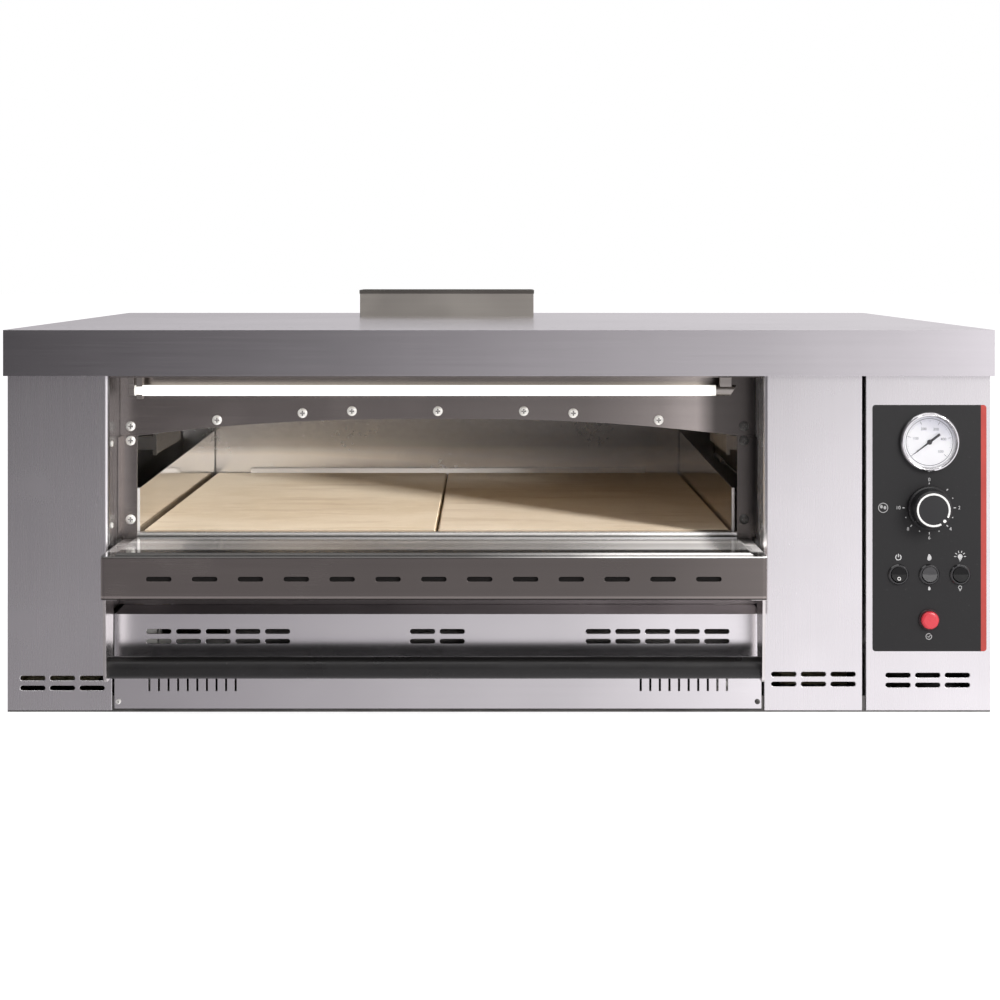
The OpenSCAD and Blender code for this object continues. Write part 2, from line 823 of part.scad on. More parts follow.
module thermostat_shaft() {
    color("silver") difference() {
        rod_y(shaft_r, control_x, overlay_front - 16, panel_back + gap + 24, knob_z);
        span([control_x - 4, overlay_front - 17, knob_z + 1.6], [control_x + 4, overlay_front - 3, knob_z + 4]);
    }
}

module knob() {
    h = 22;
    r = knob_d / 2;
    color("black") translate([control_x, overlay_front - 0.6, knob_z]) rotate([90, 0, 0]) difference() {
        rotate_extrude($fn = 96)
            polygon([[0, 2], [r - 3, 2], [r - 3, 0], [r - 0.5, 0], [r, 0.5], [r, 5], [r - 1.6, 6.5],
                     [r - 3, h - 1.6], [r - 4.4, h], [0, h]]);
        translate([0, 0, -1]) cylinder(r = shaft_r + 0.02, h = 16.6);
    }
}

module gauge_case() {
    r = gauge_d / 2;
    can = gauge_can_d / 2;
    color("silver") translate([control_x, overlay_front, gauge_z]) rotate([90, 0, 0]) difference() {
        rotate_extrude($fn = 96)
            polygon([[0, -30], [can - 1, -30], [can, -29], [can, 0], [r, 0], [r, 4], [r - 1, 5.6],
                     [r - 2.2, 6.2], [r - 3.4, 5.6], [r - 4, 4.4], [r - 4, -9], [0, -9]]);
        translate([0, 0, -31]) cylinder(r = 1, h = 30);
    }
}

module gauge_dial() {
    color("white") translate([control_x, overlay_front - 0.2, gauge_z]) rotate([90, 0, 0]) difference() {
        cylinder(r = gauge_d / 2 - 4.2, h = 0.8);
        translate([0, 0, -1]) cylinder(r = 0.85, h = 3);
    }
}

module gauge_needle() {
    color("black") translate([control_x, overlay_front - 1.8, gauge_z]) rotate([90, needle_rest, 0]) {
        linear_extrude(0.6) {
            polygon([[-0.9, 0], [0.9, 0], [0.25, 19.5], [-0.25, 19.5]]);
            translate([-1.2, -13]) square([2.4, 13]);
            circle(r = 2.6);
        }
        translate([0, 0, -8]) cylinder(r = 0.8, h = 8.2);
    }
}

module gauge_glass() {
    color("lightcyan") translate([control_x, overlay_front - 3, gauge_z]) rotate([90, 0, 0])
        cylinder(r = gauge_d / 2 - 4.1, h = 1);
}

module rocker_housing(x) {
    translate([x, overlay_front, switch_z]) rotate([90, 0, 0]) difference() {
        union() {
            rotate_extrude() polygon([[0, -19], [switch_d / 2 - 1.3, -19], [switch_d / 2 - 1.3, 0],
                                      [switch_d / 2, 0], [switch_d / 2, 1.2], [switch_d / 2 - 1, 2.2], [0, 2.2]]);
        }
        translate([0, 0, -8]) cylinder(r = rocker_r + rocker_room, h = 20);
        translate([-rocker_r - 1.9, 0, overlay_front - rocker_y]) rotate([0, 90, 0])
            cylinder(r = trunnion_r + run_fit, h = 2 * rocker_r + 3.8);
    }
}

module rocker_housings() {
    color("black") for (s = [-1 : 1]) rocker_housing(control_x + s * switch_step);
}

// A round rocker on two trunnions, drawn with its top edge pressed in
module rocker(x) {
    color("dimgray") translate([x, rocker_y, switch_z]) rotate([-rocker_tilt, 0, 0]) union() {
        difference() {
            rotate([90, 0, 0]) translate([0, 0, -3.4]) cylinder(r = rocker_r, h = 7);
            for (s = [-1, 1])
                translate([0, -2.4, 0]) rotate([s * rocker_tilt, 0, 0]) translate([0, -5, s * 10])
                    cube([20, 10, 20], center = true);
        }
        rod_x(trunnion_r, -rocker_r - 1.6, rocker_r + 1.6, 0, 0);
    }
}

module power_rocker() { rocker(control_x - switch_step); }

module flame_rocker() { rocker(control_x); }

module lamp_rocker() { rocker(control_x + switch_step); }

module reset_housing() {
    r = reset_d / 2;
    color("maroon") translate([control_x, overlay_front, reset_z]) rotate([90, 0, 0]) difference() {
        rotate_extrude() polygon([[0, -22], [r + 0.9, -22], [r + 0.9, 0], [r + 1.9, 0], [r + 1.9, 1.2],
                                  [r + 1.2, 2], [0, 2]]);
        translate([0, 0, -9]) cylinder(r = r + 0.25, h = 20);
        translate([0, 0, -19]) cylinder(r = 3.05, h = 20);
    }
}

module reset_button() {
    r = reset_d / 2;
    color("crimson") translate([control_x, overlay_front, reset_z]) rotate([90, 0, 0])
        rotate_extrude() polygon([[0, -15.5], [3, -15.5], [3, -5.5], [r, -5.5], [r, 5], [r - 0.9, 6.1],
                                  [r - 2.4, 6.6], [0, 6.8]]);
}

// ---------------------------------------------------------------- lamp

module lamp_tube() {
    color("white") rod_x(lamp_r, lamp_l, lamp_end, lamp_y, lamp_z);
}

module lamp_holders() {
    clip_low = lamp_z - lamp_r - 3;
    color("gray") {
        span([lamp_l - 6, lamp_y - 5, lamp_z - 5], [lamp_l - 0.1, lamp_y + 5, mouth_top - 0.1]);
        difference() {
            span([lamp_l + 2, lamp_y - 4, clip_low], [lamp_l + 8, lamp_y + 9, mouth_top - 0.1]);
            rod_x(lamp_r + 0.1, lamp_l, lamp_l + 10, lamp_y, lamp_z);
        }
        difference() {
            union() {
                rod_x(lamp_r, lamp_end + 0.1, lamp_end + 22, lamp_y, lamp_z);
                span([lamp_end + 4, lamp_y - 4, lamp_z], [lamp_end + 16, lamp_y + 4, mouth_top - 0.1]);
            }
            translate([lamp_end + 20, lamp_y, lamp_z - 8]) rotate([0, 30, 0]) cube([12, 30, 30], center = true);
        }
    }
}

// ---------------------------------------------------------------- door

// Plan of the door, with rounded corners at the free edge
module door_plan(inset) {
    r = bend_r - inset;
    lo = [door_l + inset, door_front + inset];
    hi = [door_r - inset, door_back - sheet - 0.3];
    area([lo[0], lo[1] + r], hi);
    area([lo[0] + r, lo[1]], [hi[0] - r, lo[1] + r + eps]);
    for (x = [lo[0] + r, hi[0] - r]) translate([x, lo[1] + r]) circle(r = r);
}

module door_outer_skin() {
    wall_top = door_top - door_rim - sheet;
    color("dimgray") difference() {
        translate([0, 0, door_low]) linear_extrude(wall_top - door_low) door_plan(0);
        translate([0, 0, door_low + sheet]) linear_extrude(door_t) {
            door_plan(sheet);
            area([door_l + sheet, door_back - 20], [door_r - sheet, door_back]);
        }
        front_sheet(door_front - 1, sheet + 2) slot_grid(door_x, 145, 13, 1, 25, 4.8, 44.8);
        for (x = [door_l - 1, door_r - sheet - 1]) rod_x(pin_r + 0.02, x, x + sheet + 2, hinge_y, hinge_z);
    }
}

module door_inner_skin() {
    base_high = door_top - door_rim;
    base_low = base_high - sheet;
    rim = 13;
    step = 1.6;
    fold_z = base_high - bend_r;
    fold_y = door_back - bend_r;
    color("silver") union() {
        translate([0, 0, base_low]) linear_extrude(sheet) intersection() {
            door_plan(0);
            area([door_l, door_front], [door_r, fold_y + eps]);
        }
        span([door_l + rim, door_front + 9, base_high - eps], [door_r - rim, fold_y - 2, base_high + door_rim / 2]);
        span([door_l + rim + step, door_front + 9 + step, base_high], [door_r - rim - step, fold_y - 2 - step, door_top]);
        span([door_l + sheet + 0.2, door_back - sheet, door_low + 2], [door_r - sheet - 0.2, door_back, fold_z]);
        intersection() {
            difference() {
                rod_x(bend_r, door_l + sheet + 0.2, door_r - sheet - 0.2, fold_y, fold_z);
                rod_x(bend_r - sheet, door_l, door_r, fold_y, fold_z);
            }
            span([door_l, fold_y - eps, fold_z - eps], [door_r, door_back, base_high]);
        }
    }
}

module door_insulation() {
    color("khaki") span([door_l + 3, door_front + 3, door_low + sheet + 0.5],
                        [door_r - 3, hinge_y - pin_r - 4, door_top - door_rim - sheet - 0.5]);
}

module handle_arms() {
    top_half = 23.5;
    low_half = 11.5;
    round_r = 8;
    low = handle_z - 12;
    spigot = 20;
    foot = 14;
    color("silver") for (s = [-1, 1]) {
        x0 = s < 0 ? door_l : door_r - arm_t;
        spigot_x = s < 0 ? door_l + arm_t : door_r - arm_t - spigot;
        foot_x = s < 0 ? door_l : door_r - foot;
        difference() {
            union() {
                side_sheet(x0, arm_t) {
                    polygon([[arm_y - top_half, door_low - eps], [arm_y + top_half, door_low - eps],
                             [arm_y + low_half + round_r, low + round_r], [arm_y - low_half - round_r, low + round_r]]);
                    area([arm_y - low_half, low], [arm_y + low_half, low + round_r + eps]);
                    for (d = [-1, 1]) translate([arm_y + d * low_half, low + round_r]) circle(r = round_r);
                }
                rod_x(bore_tube_r - 0.1, spigot_x - eps, spigot_x + spigot + eps, arm_y, handle_z);
                span([foot_x, arm_y - top_half, door_low - 2.5], [foot_x + foot, arm_y + top_half, door_low - eps]);
            }
            rod_x(3.02, s < 0 ? x0 - 1 : x0 - 15, s < 0 ? x0 + 18 : x0 + arm_t + 1, arm_y, handle_z);
        }
    }
}

module door_handle() {
    color("black") difference() {
        rod_x(handle_d / 2, door_l + arm_t + 0.1, door_r - arm_t - 0.1, arm_y, handle_z);
        rod_x(bore_tube_r, door_l, door_r, arm_y, handle_z);
    }
}

module handle_screws() {
    color("silver") {
        screw_side([door_l, arm_y, handle_z], 1, 3, 5.5, 2.2, 16);
        screw_side([door_r, arm_y, handle_z], -1, 3, 5.5, 2.2, 16);
    }
}

module hinge_pins() {
    out = 8;
    inner = 14;
    color("silver") {
        rod_x(pin_r, door_l - out, door_l + inner, hinge_y, hinge_z);
        rod_x(pin_r, door_r - inner, door_r + out, hinge_y, hinge_z);
    }
}

module hinge_bush(x0, x1, collar_x) {
    difference() {
        union() {
            rod_x(6.95, x0, x1, hinge_y, hinge_z);
            rod_x(9, collar_x, collar_x + 2, hinge_y, hinge_z);
        }
        rod_x(pin_r + pin_clear, x0 - 1, x1 + 1, hinge_y, hinge_z);
    }
}

module hinge_bushes() {
    stand = 3;
    color("goldenrod") {
        hinge_bush(mouth_l - 6, mouth_l + stand, mouth_l - sheet - 2.1);
        hinge_bush(mouth_r - stand, mouth_r + 6, mouth_r + sheet + 0.1);
    }
}

// ---------------------------------------------------------------- fasteners

module pan_screws() {
    head_h = 2.6;
    len = 6;
    color("whitesmoke") {
        for (p = lintel_screw_at) screw_front([p[0], lintel_y, p[1]], screw_r, screw_head_r, head_h, len);
        for (x = jamb_screw_x, z = concat(jamb_screw_z, [lintel_ear_z]))
            screw_front([x, lintel_y, z], screw_r, screw_head_r, head_h, len);
    }
}

module small_screws() {
    head_h = 2;
    len = 5;
    color("whitesmoke") {
        for (p = cover_screw_at) screw_front([p[0], panel_front, p[1]], small_r, 2.6, head_h, len);
        for (z = reveal_screw_z) {
            screw_side([mouth_l, reveal_screw_y, z], -1, small_r, small_head_r, head_h, len);
            screw_side([mouth_r, reveal_screw_y, z], 1, small_r, small_head_r, head_h, len);
        }
        for (y = side_screw_y) {
            screw_side([-body_x, y, side_screw_z], 1, small_r, small_head_r, head_h, len);
            screw_side([body_x, y, side_screw_z], -1, small_r, small_head_r, head_h, len);
        }
        for (x = rear_screw_x, z = rear_screw_z)
            translate([x, body_back, z]) rotate([90, 0, 0]) pan_screw(small_r, small_head_r, head_h, len);
    }
}

base_tray();
rear_panel();
left_side_panel();
right_side_panel();
top_cover();
flue_collar();
flue_duct();
front_left_panel();
front_right_panel();
control_column();
control_overlay();
burner_cover();
hinge_beam();
threshold();
soffit();
lintel();
left_jamb();
right_jamb();
partition();
chamber_shell();
chamber_rear_wall();
left_stone();
right_stone();
stone_rack();
left_flame_guard();
right_flame_guard();
side_rails();
chamber_insulation();
burners();
gas_manifold();
injectors();
spark_electrode();
gas_valve();
gas_inlet();
ignition_box();
thermostat();
thermostat_shaft();
gauge_case();
gauge_dial();
gauge_needle();
gauge_glass();
knob();
rocker_housings();
power_rocker();
flame_rocker();
lamp_rocker();
reset_housing();
reset_button();
lamp_tube();
lamp_holders();
door_outer_skin();
door_inner_skin();
door_insulation();
door_handle();
handle_arms();
hinge_pins();
hinge_bushes();
pan_screws();
small_screws();
handle_screws();
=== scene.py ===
import math

import bmesh
import bpy
from mathutils import Matrix, Vector


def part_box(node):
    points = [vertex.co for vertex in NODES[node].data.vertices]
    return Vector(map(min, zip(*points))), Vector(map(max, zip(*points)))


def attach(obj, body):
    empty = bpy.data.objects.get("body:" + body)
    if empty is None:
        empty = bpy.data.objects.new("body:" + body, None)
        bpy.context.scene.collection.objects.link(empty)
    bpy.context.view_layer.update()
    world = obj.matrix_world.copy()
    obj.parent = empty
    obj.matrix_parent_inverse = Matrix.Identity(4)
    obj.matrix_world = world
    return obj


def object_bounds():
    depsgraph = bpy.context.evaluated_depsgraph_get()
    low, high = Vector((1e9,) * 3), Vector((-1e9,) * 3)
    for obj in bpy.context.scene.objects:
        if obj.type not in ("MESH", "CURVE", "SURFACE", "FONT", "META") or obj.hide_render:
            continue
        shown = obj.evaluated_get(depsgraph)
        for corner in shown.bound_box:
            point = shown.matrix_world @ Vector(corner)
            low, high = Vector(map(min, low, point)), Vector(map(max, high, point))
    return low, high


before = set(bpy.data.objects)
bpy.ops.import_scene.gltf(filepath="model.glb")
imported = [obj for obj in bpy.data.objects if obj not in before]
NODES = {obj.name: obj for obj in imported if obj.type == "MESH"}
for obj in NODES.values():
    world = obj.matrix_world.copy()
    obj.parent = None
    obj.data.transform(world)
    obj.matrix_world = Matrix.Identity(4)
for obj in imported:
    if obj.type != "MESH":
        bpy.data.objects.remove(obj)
cad_low, cad_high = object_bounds()
MM = 0.001


# ------------------------------------------------------------------ shader tools

class Shader:
    """A procedural material. Coordinates are the row frame's metres."""

    def __init__(self, name, **values):
        self.mat = bpy.data.materials.new(name)
        self.mat.use_nodes = True
        self.tree = self.mat.node_tree
        self.tree.nodes.clear()
        self.out = self.add("ShaderNodeOutputMaterial")
        self.bsdf = self.add("ShaderNodeBsdfPrincipled")
        self.link(self.bsdf.outputs[0], self.out.inputs[0])
        self.at = self.add("ShaderNodeTexCoord").outputs["Object"]
        self.split = None
        for key, value in values.items():
            self.bsdf.inputs[key.replace("_", " ")].default_value = value

    def add(self, kind, **props):
        n = self.tree.nodes.new(kind)
        for key, value in props.items():
            setattr(n, key, value)
        return n

    def link(self, a, b):
        self.tree.links.new(a, b)

    def feed(self, name, socket):
        self.link(socket, self.bsdf.inputs[name])

    def put(self, socket, value):
        """Sets a socket to a number or a colour, or links another socket to it."""
        if isinstance(value, (int, float)):
            socket.default_value = value
        elif isinstance(value, (tuple, list)):
            socket.default_value = (*value[:3], 1.0) if len(socket.default_value) == 4 else value[:3]
        else:
            self.link(value, socket)

    def mapped(self, scale, shift):
        """Coordinates scaled by a frequency per metre, one for all axes or one each for X, Y and Z."""
        m = self.add("ShaderNodeMapping")
        m.inputs["Scale"].default_value = scale if isinstance(scale, (tuple, list)) else (scale,) * 3
        m.inputs["Location"].default_value = shift
        self.link(self.at, m.inputs["Vector"])
        return m.outputs[0]

    def noise(self, scale, detail=3.0, rough=0.55, shift=(0, 0, 0), distort=0.0):
        n = self.add("ShaderNodeTexNoise")
        n.inputs["Scale"].default_value = 1.0
        n.inputs["Detail"].default_value = detail
        n.inputs["Roughness"].default_value = rough
        n.inputs["Distortion"].default_value = distort
        self.link(self.mapped(scale, shift), n.inputs["Vector"])
        return n.outputs["Fac"]

    def cells(self, scale, shift=(0, 0, 0), random=1.0):
        """Distance to the nearest of scattered points."""
        n = self.add("ShaderNodeTexVoronoi", feature="F1")
        n.inputs["Scale"].default_value = 1.0
        n.inputs["Randomness"].default_value = random
        self.link(self.mapped(scale, shift), n.inputs["Vector"])
        return n.outputs["Distance"]

    def ramp(self, fac, low, high, out_low=0.0, out_high=1.0, smooth=True):
        """Maps low..high of a value to out_low..out_high."""
        n = self.add("ShaderNodeMapRange")
        n.interpolation_type = "SMOOTHSTEP" if smooth else "LINEAR"
        self.put(n.inputs["Value"], fac)
        for key, value in (("From Min", low), ("From Max", high), ("To Min", out_low), ("To Max", out_high)):
            n.inputs[key].default_value = value
        return n.outputs["Result"]

    def sum(self, op, a, b):
        """Any two-value sum, such as ADD, MULTIPLY or MINIMUM."""
        n = self.add("ShaderNodeMath", operation=op)
        self.put(n.inputs[0], a)
        self.put(n.inputs[1], b)
        return n.outputs[0]

    def blend(self, fac, a, b, kind="MIX"):
        n = self.add("ShaderNodeMix", data_type="RGBA", blend_type=kind)
        self.put(n.inputs[0], fac)
        self.put(n.inputs[6], a)
        self.put(n.inputs[7], b)
        return n.outputs[2]

    def grey(self, value):
        n = self.add("ShaderNodeCombineColor")
        for i in range(3):
            self.put(n.inputs[i], value)
        return n.outputs[0]

    def axis(self, i):
        if self.split is None:
            self.split = self.add("ShaderNodeSeparateXYZ")
            self.link(self.at, self.split.inputs[0])
        return self.split.outputs[i]

    def along(self, i, stops):
        """A grey level that changes along an axis, from (metres, level) stops."""
        n = self.add("ShaderNodeValToRGB")
        lo, hi = stops[0][0], stops[-1][0]
        self.link(self.ramp(self.axis(i), lo, hi, smooth=False), n.inputs[0])
        band = n.color_ramp
        for k, (place, level) in enumerate(stops):
            e = band.elements[k] if k < 2 else band.elements.new(1.0)
            e.position = (place - lo) / (hi - lo)
            e.color = (level, level, level, 1)
        return n.outputs[0]

    def facing(self, i, sign):
        """1 on faces that look along an axis, or against it when sign is -1, and 0 on the others."""
        split = self.add("ShaderNodeSeparateXYZ")
        self.link(self.add("ShaderNodeNewGeometry").outputs["True Normal"], split.inputs[0])
        return self.ramp(self.sum("MULTIPLY", split.outputs[i], sign), 0.35, 0.85)

    def relief(self, height, strength, distance=0.0005, round_edges=0.0):
        """Bump, on top of softly rounded edges when asked."""
        b = self.add("ShaderNodeBump")
        b.inputs["Strength"].default_value = strength
        b.inputs["Distance"].default_value = distance
        self.put(b.inputs["Height"], height)
        if round_edges:
            r = self.add("ShaderNodeBevel", samples=4)
            r.inputs["Radius"].default_value = round_edges
            self.link(r.outputs[0], b.inputs["Normal"])
        self.feed("Normal", b.outputs[0])


# brush marks per metre: long along one axis, fine across it
LONG, FINE = 9.0, 1500.0
GRAIN_X = (LONG, FINE, FINE)
GRAIN_Y = (FINE, LONG, FINE)
GRAIN_Z = (FINE, FINE, LONG)


def coarser(grain, k):
    return tuple(max(g * k, 2.0) for g in grain)


def times(colour, *k):
    """A colour times one factor, or one for each of red, green and blue."""
    return tuple(c * f for c, f in zip(colour, k * 3 if len(k) == 1 else k))


def steel(name, colour, rough, grain, stretch=0.0, turn=0.0, streak=0.05, smudge=0.07, edge=0.0004,
          shade=None, front_only=False, side_level=1.0, heights=None, scratch=0.0, bump=0.10, metal=1.0,
          front_metal=None, metal_along=None, up_shade=None, up_depth=None, left_metal=None):
    """Brushed or polished sheet: fine grain, wider streaks, soft smudges and a few scratches.

    shade and heights are painted light, shade and reflections as (metres, level) stops along X and Z, and
    front_only keeps shade to faces that look to the front. up_shade and up_depth are painted light and shade
    as stops along X and Y for faces that look up. side_level is painted shade on faces that look right.
    left_metal, front_metal and metal_along change how metallic a face is.
    """
    s = Shader(name, Metallic=metal)
    if metal_along or front_metal is not None:
        whole = s.along(0, metal_along) if metal_along else (metal,) * 3
        front = whole if front_metal is None else (front_metal,) * 3
        s.feed("Metallic", s.blend(s.facing(1, -1), whole, front))
    if left_metal is not None:
        s.feed("Metallic", s.ramp(s.facing(0, -1), 0.0, 1.0, metal, left_metal))
    fine = s.noise(grain, 2.0, 0.6)
    wide = s.noise(coarser(grain, 0.13), 2.0, 0.5, (3, 1, 2))
    cloud = s.noise(7.0, 3.0, 0.55, (1, 4, 2))
    patch = s.noise(16.0, 1.0, 0.4, (7, 2, 5))
    level = s.sum("ADD", s.ramp(fine, 0.3, 0.7, -0.6 * streak, 0.6 * streak),
                  s.ramp(wide, 0.3, 0.7, 1 - streak, 1 + streak))
    level = s.sum("MULTIPLY", level, s.ramp(cloud, 0.25, 0.75, 0.965, 1.035))
    base = s.blend(1.0, colour, s.grey(level), "MULTIPLY")
    # painted light, shade and reflections: the levels below multiply the colour by place and by the way a
    # face looks
    if shade:
        base = s.blend(s.facing(1, -1) if front_only else 1.0, base, s.along(0, shade), "MULTIPLY")
    if heights:
        base = s.blend(1.0, base, s.along(2, heights), "MULTIPLY")
    if side_level < 1.0:
        base = s.blend(s.facing(0, 1), base, (side_level,) * 3, "MULTIPLY")
    if up_shade:
        base = s.blend(s.facing(2, 1), base, s.along(0, up_shade), "MULTIPLY")
    if up_depth:
        base = s.blend(s.facing(2, 1), base, s.along(1, up_depth), "MULTIPLY")
    s.feed("Base Color", base)
    r = s.sum("ADD", rough, s.ramp(fine, 0.25, 0.75, -1.2 * streak, 1.5 * streak))
    r = s.sum("ADD", r, s.ramp(patch, 0.52, 0.78, 0.0, smudge))
    height = fine
    if scratch:
        lines = s.ramp(s.noise((30, 900, 900), 2.0, 0.5, (2, 2, 9), 1.4), 0.70, 0.74)
        cross = s.ramp(s.noise((700, 24, 700), 2.0, 0.5, (5, 3, 1), 1.8), 0.71, 0.75)
        marks = s.sum("MAXIMUM", lines, cross)
        r = s.sum("ADD", r, s.sum("MULTIPLY", marks, scratch))
        height = s.sum("ADD", height, marks)
    s.feed("Roughness", r)
    s.relief(height, bump, 0.00004, edge)
    if stretch:
        t = s.add("ShaderNodeTangent", direction_type="RADIAL", axis="Z")
        s.feed("Tangent", t.outputs[0])
        s.bsdf.inputs["Anisotropic"].default_value = stretch
        s.bsdf.inputs["Anisotropic Rotation"].default_value = turn
    return s.mat


def plastic(name, colour, rough, coat=0.0, grain=900.0, bump=0.12, spread=0.12, dust=0.0, spec=0.5):
    """Moulded plastic or film with a fine texture, uneven gloss and a trace of dust."""
    s = Shader(name, Specular_IOR_Level=spec)
    fine = s.noise(grain, 3.0, 0.6)
    cloud = s.noise(18.0, 3.0, 0.6, (4, 1, 7))
    tone = s.sum("MULTIPLY", s.ramp(fine, 0.3, 0.7, 1 - spread, 1 + spread),
                 s.ramp(cloud, 0.3, 0.7, 0.93, 1.07))
    base = s.blend(1.0, colour, s.grey(tone), "MULTIPLY")
    if dust:
        settled = s.ramp(s.noise(230.0, 4.0, 0.7, (3, 8, 1)), 0.62, 0.80, 0.0, dust)
        base = s.blend(settled, base, (0.55, 0.53, 0.50))
    s.feed("Base Color", base)
    s.feed("Roughness", s.sum("ADD", rough, s.ramp(cloud, 0.3, 0.7, -0.05, 0.08)))
    s.relief(fine, bump, 0.00005, 0.0003)
    if coat:
        s.bsdf.inputs["Coat Weight"].default_value = coat
        s.bsdf.inputs["Coat Roughness"].default_value = 0.08
    return s.mat


def print_ink(name, colour, rough=0.45):
    """Screen-printed ink: slightly uneven cover."""
    s = Shader(name)
    cover = s.noise(2600.0, 3.0, 0.6)
    s.feed("Base Color", s.blend(s.ramp(cover, 0.35, 0.7, 0.0, 0.22), colour, times(colour, 0.6)))
    s.feed("Roughness", s.ramp(cover, 0.3, 0.7, rough - 0.05, rough + 0.1))
    s.relief(cover, 0.1, 0.00002)
    return s.mat


def stone_material(name, tint, shift):
    """Fired clay: mottled, sandy, with pores, brown flecks and scorched patches, and painted shade on the
    front faces.
    """
    s = Shader(name, Specular_IOR_Level=0.18)
    broad = s.noise(5.5, 4.0, 0.55, shift, 0.4)
    mottle = s.noise(38.0, 5.0, 0.6, shift)
    sand = s.noise(1300.0, 3.0, 0.65, shift)
    pores = s.ramp(s.cells(330.0, shift=shift), 0.05, 0.17, 1.0, 0.0)
    pores = s.sum("MULTIPLY", pores, s.ramp(s.noise(150.0, 2.0, 0.5, shift), 0.52, 0.62))
    flecks = s.ramp(s.noise(520.0, 2.0, 0.6, (9, 4, 2)), 0.66, 0.74)
    base = s.blend(s.ramp(broad, 0.35, 0.70), tint, times(tint, 0.90, 0.87, 0.82))
    base = s.blend(s.ramp(mottle, 0.42, 0.75, 0.0, 0.5), base, times(tint, 1.06, 1.06, 1.08))
    base = s.blend(s.ramp(sand, 0.35, 0.75, 0.0, 0.30), base, times(tint, 0.72))
    base = s.blend(s.sum("MULTIPLY", flecks, 0.35), base, (0.38, 0.25, 0.15))
    base = s.blend(s.sum("MULTIPLY", pores, 0.55), base, (0.24, 0.16, 0.10))
    scorch = s.ramp(s.noise((7.0, 26.0, 7.0), 3.0, 0.6, (shift[1], 2, 2)), 0.50, 0.74, 0.0, 0.34)
    base = s.blend(scorch, base, (0.46, 0.33, 0.21))
    # painted shade: faces that look to the front are made much darker
    base = s.blend(s.facing(1, -1), base, (0.13, 0.12, 0.11), "MULTIPLY")
    s.feed("Base Color", base)
    s.feed("Roughness", s.ramp(sand, 0.3, 0.7, 0.78, 0.95))
    height = s.sum("ADD", s.sum("MULTIPLY", sand, 0.5), s.sum("MULTIPLY", pores, -1.0))
    height = s.sum("ADD", height, s.sum("MULTIPLY", mottle, 0.6))
    s.relief(height, 0.45, 0.0005, 0.0007)
    return s.mat


def wool_material(name, light, dark):
    """Pressed fibre in clumps."""
    s = Shader(name, Roughness=0.95)
    fibre = s.noise((260, 900, 900), 4.0, 0.7, distort=2.0)
    clump = s.noise(45.0, 4.0, 0.6)
    base = s.blend(s.ramp(fibre, 0.3, 0.7), times(light, 0.72), light)
    s.feed("Base Color", s.blend(s.ramp(clump, 0.35, 0.75, 0.0, 0.6), base, dark))
    s.relief(s.sum("ADD", fibre, clump), 0.8, 0.002)
    return s.mat


def lamp_material():
    """Lit tube: warm white, with faint cell marks and duller ends."""
    s = Shader("lamp_glow", Roughness=0.35)
    lo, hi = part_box("lamp_tube")
    marks = s.cells((310.0, 1.0, 1.0), random=0.12)
    level = s.ramp(marks, 0.05, 0.45, 1.06, 0.90)
    near = s.sum("MINIMUM", s.sum("SUBTRACT", s.axis(0), lo.x), s.sum("SUBTRACT", hi.x, s.axis(0)))
    level = s.sum("MULTIPLY", level, s.ramp(near, 0.0, 0.014, 0.45, 1.0))
    s.feed("Base Color", s.grey(s.sum("MULTIPLY", level, 0.85)))
    s.bsdf.inputs["Emission Color"].default_value = (1.0, 0.975, 0.90, 1)
    # the tube is bright to look at but hardly lights the polished metal round it
    seen = s.add("ShaderNodeLightPath").outputs["Is Camera Ray"]
    edge = s.add("ShaderNodeLayerWeight")
    edge.inputs[0].default_value = 0.5
    level = s.sum("MULTIPLY", level, s.ramp(edge.outputs["Facing"], 0.40, 0.96, 1.0, 0.06))
    s.feed("Emission Strength", s.sum("MULTIPLY", level, s.ramp(seen, 0.0, 1.0, 0.9, 2.2, smooth=False)))
    return s.mat


def window_material():
    """Flat gauge glass: clear, with a soft reflection that grows at the rim, and faint dust."""
    s = Shader("clear_glass")
    clear = s.add("ShaderNodeBsdfTransparent")
    clear.inputs[0].default_value = (0.985, 0.985, 0.99, 1)
    shine = s.add("ShaderNodeBsdfGlossy")
    dust = s.noise(700.0, 4.0, 0.7)
    s.link(s.ramp(dust, 0.4, 0.8, 0.02, 0.12), shine.inputs["Roughness"])
    fres = s.add("ShaderNodeFresnel")
    fres.inputs["IOR"].default_value = 1.5
    mix = s.add("ShaderNodeMixShader")
    share = s.sum("ADD", s.sum("MULTIPLY", fres.outputs[0], 0.8), s.ramp(dust, 0.55, 0.85, 0.0, 0.02))
    s.link(share, mix.inputs[0])
    s.link(clear.outputs[0], mix.inputs[1])
    s.link(shine.outputs[0], mix.inputs[2])
    s.link(mix.outputs[0], s.out.inputs[0])
    return s.mat


def dial_material():
    """White dial, with a painted shadow of its case from the upper right, and a faint painted glow."""
    s = Shader("dial_white", Roughness=0.42)
    speck = s.noise(1500.0, 3.0, 0.6)
    broad = s.noise(30.0, 2.0, 0.5)
    base = s.blend(s.ramp(broad, 0.3, 0.7), (0.94, 0.94, 0.95), (0.97, 0.97, 0.975))
    tone = s.blend(s.ramp(speck, 0.5, 0.8, 0.0, 0.12), base, (0.66, 0.68, 0.74))
    # painted shadow of the case, darkening from the upper right
    lo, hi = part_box("gauge_dial")
    tilt = 0.45
    fall = s.sum("ADD", s.axis(2), s.sum("MULTIPLY", s.axis(0), tilt))
    top = hi.z + tilt * (lo.x + hi.x) / 2
    tone = s.blend(s.ramp(fall, top - 0.026, top + 0.002, 0.0, 0.55), tone, (0.42, 0.42, 0.52), "MULTIPLY")
    s.feed("Base Color", tone)
    # painted light: a faint glow makes the dial whiter than its lighting alone would
    s.feed("Emission Color", tone)
    s.bsdf.inputs["Emission Strength"].default_value = 0.20
    s.relief(speck, 0.06, 0.00002)
    return s.mat


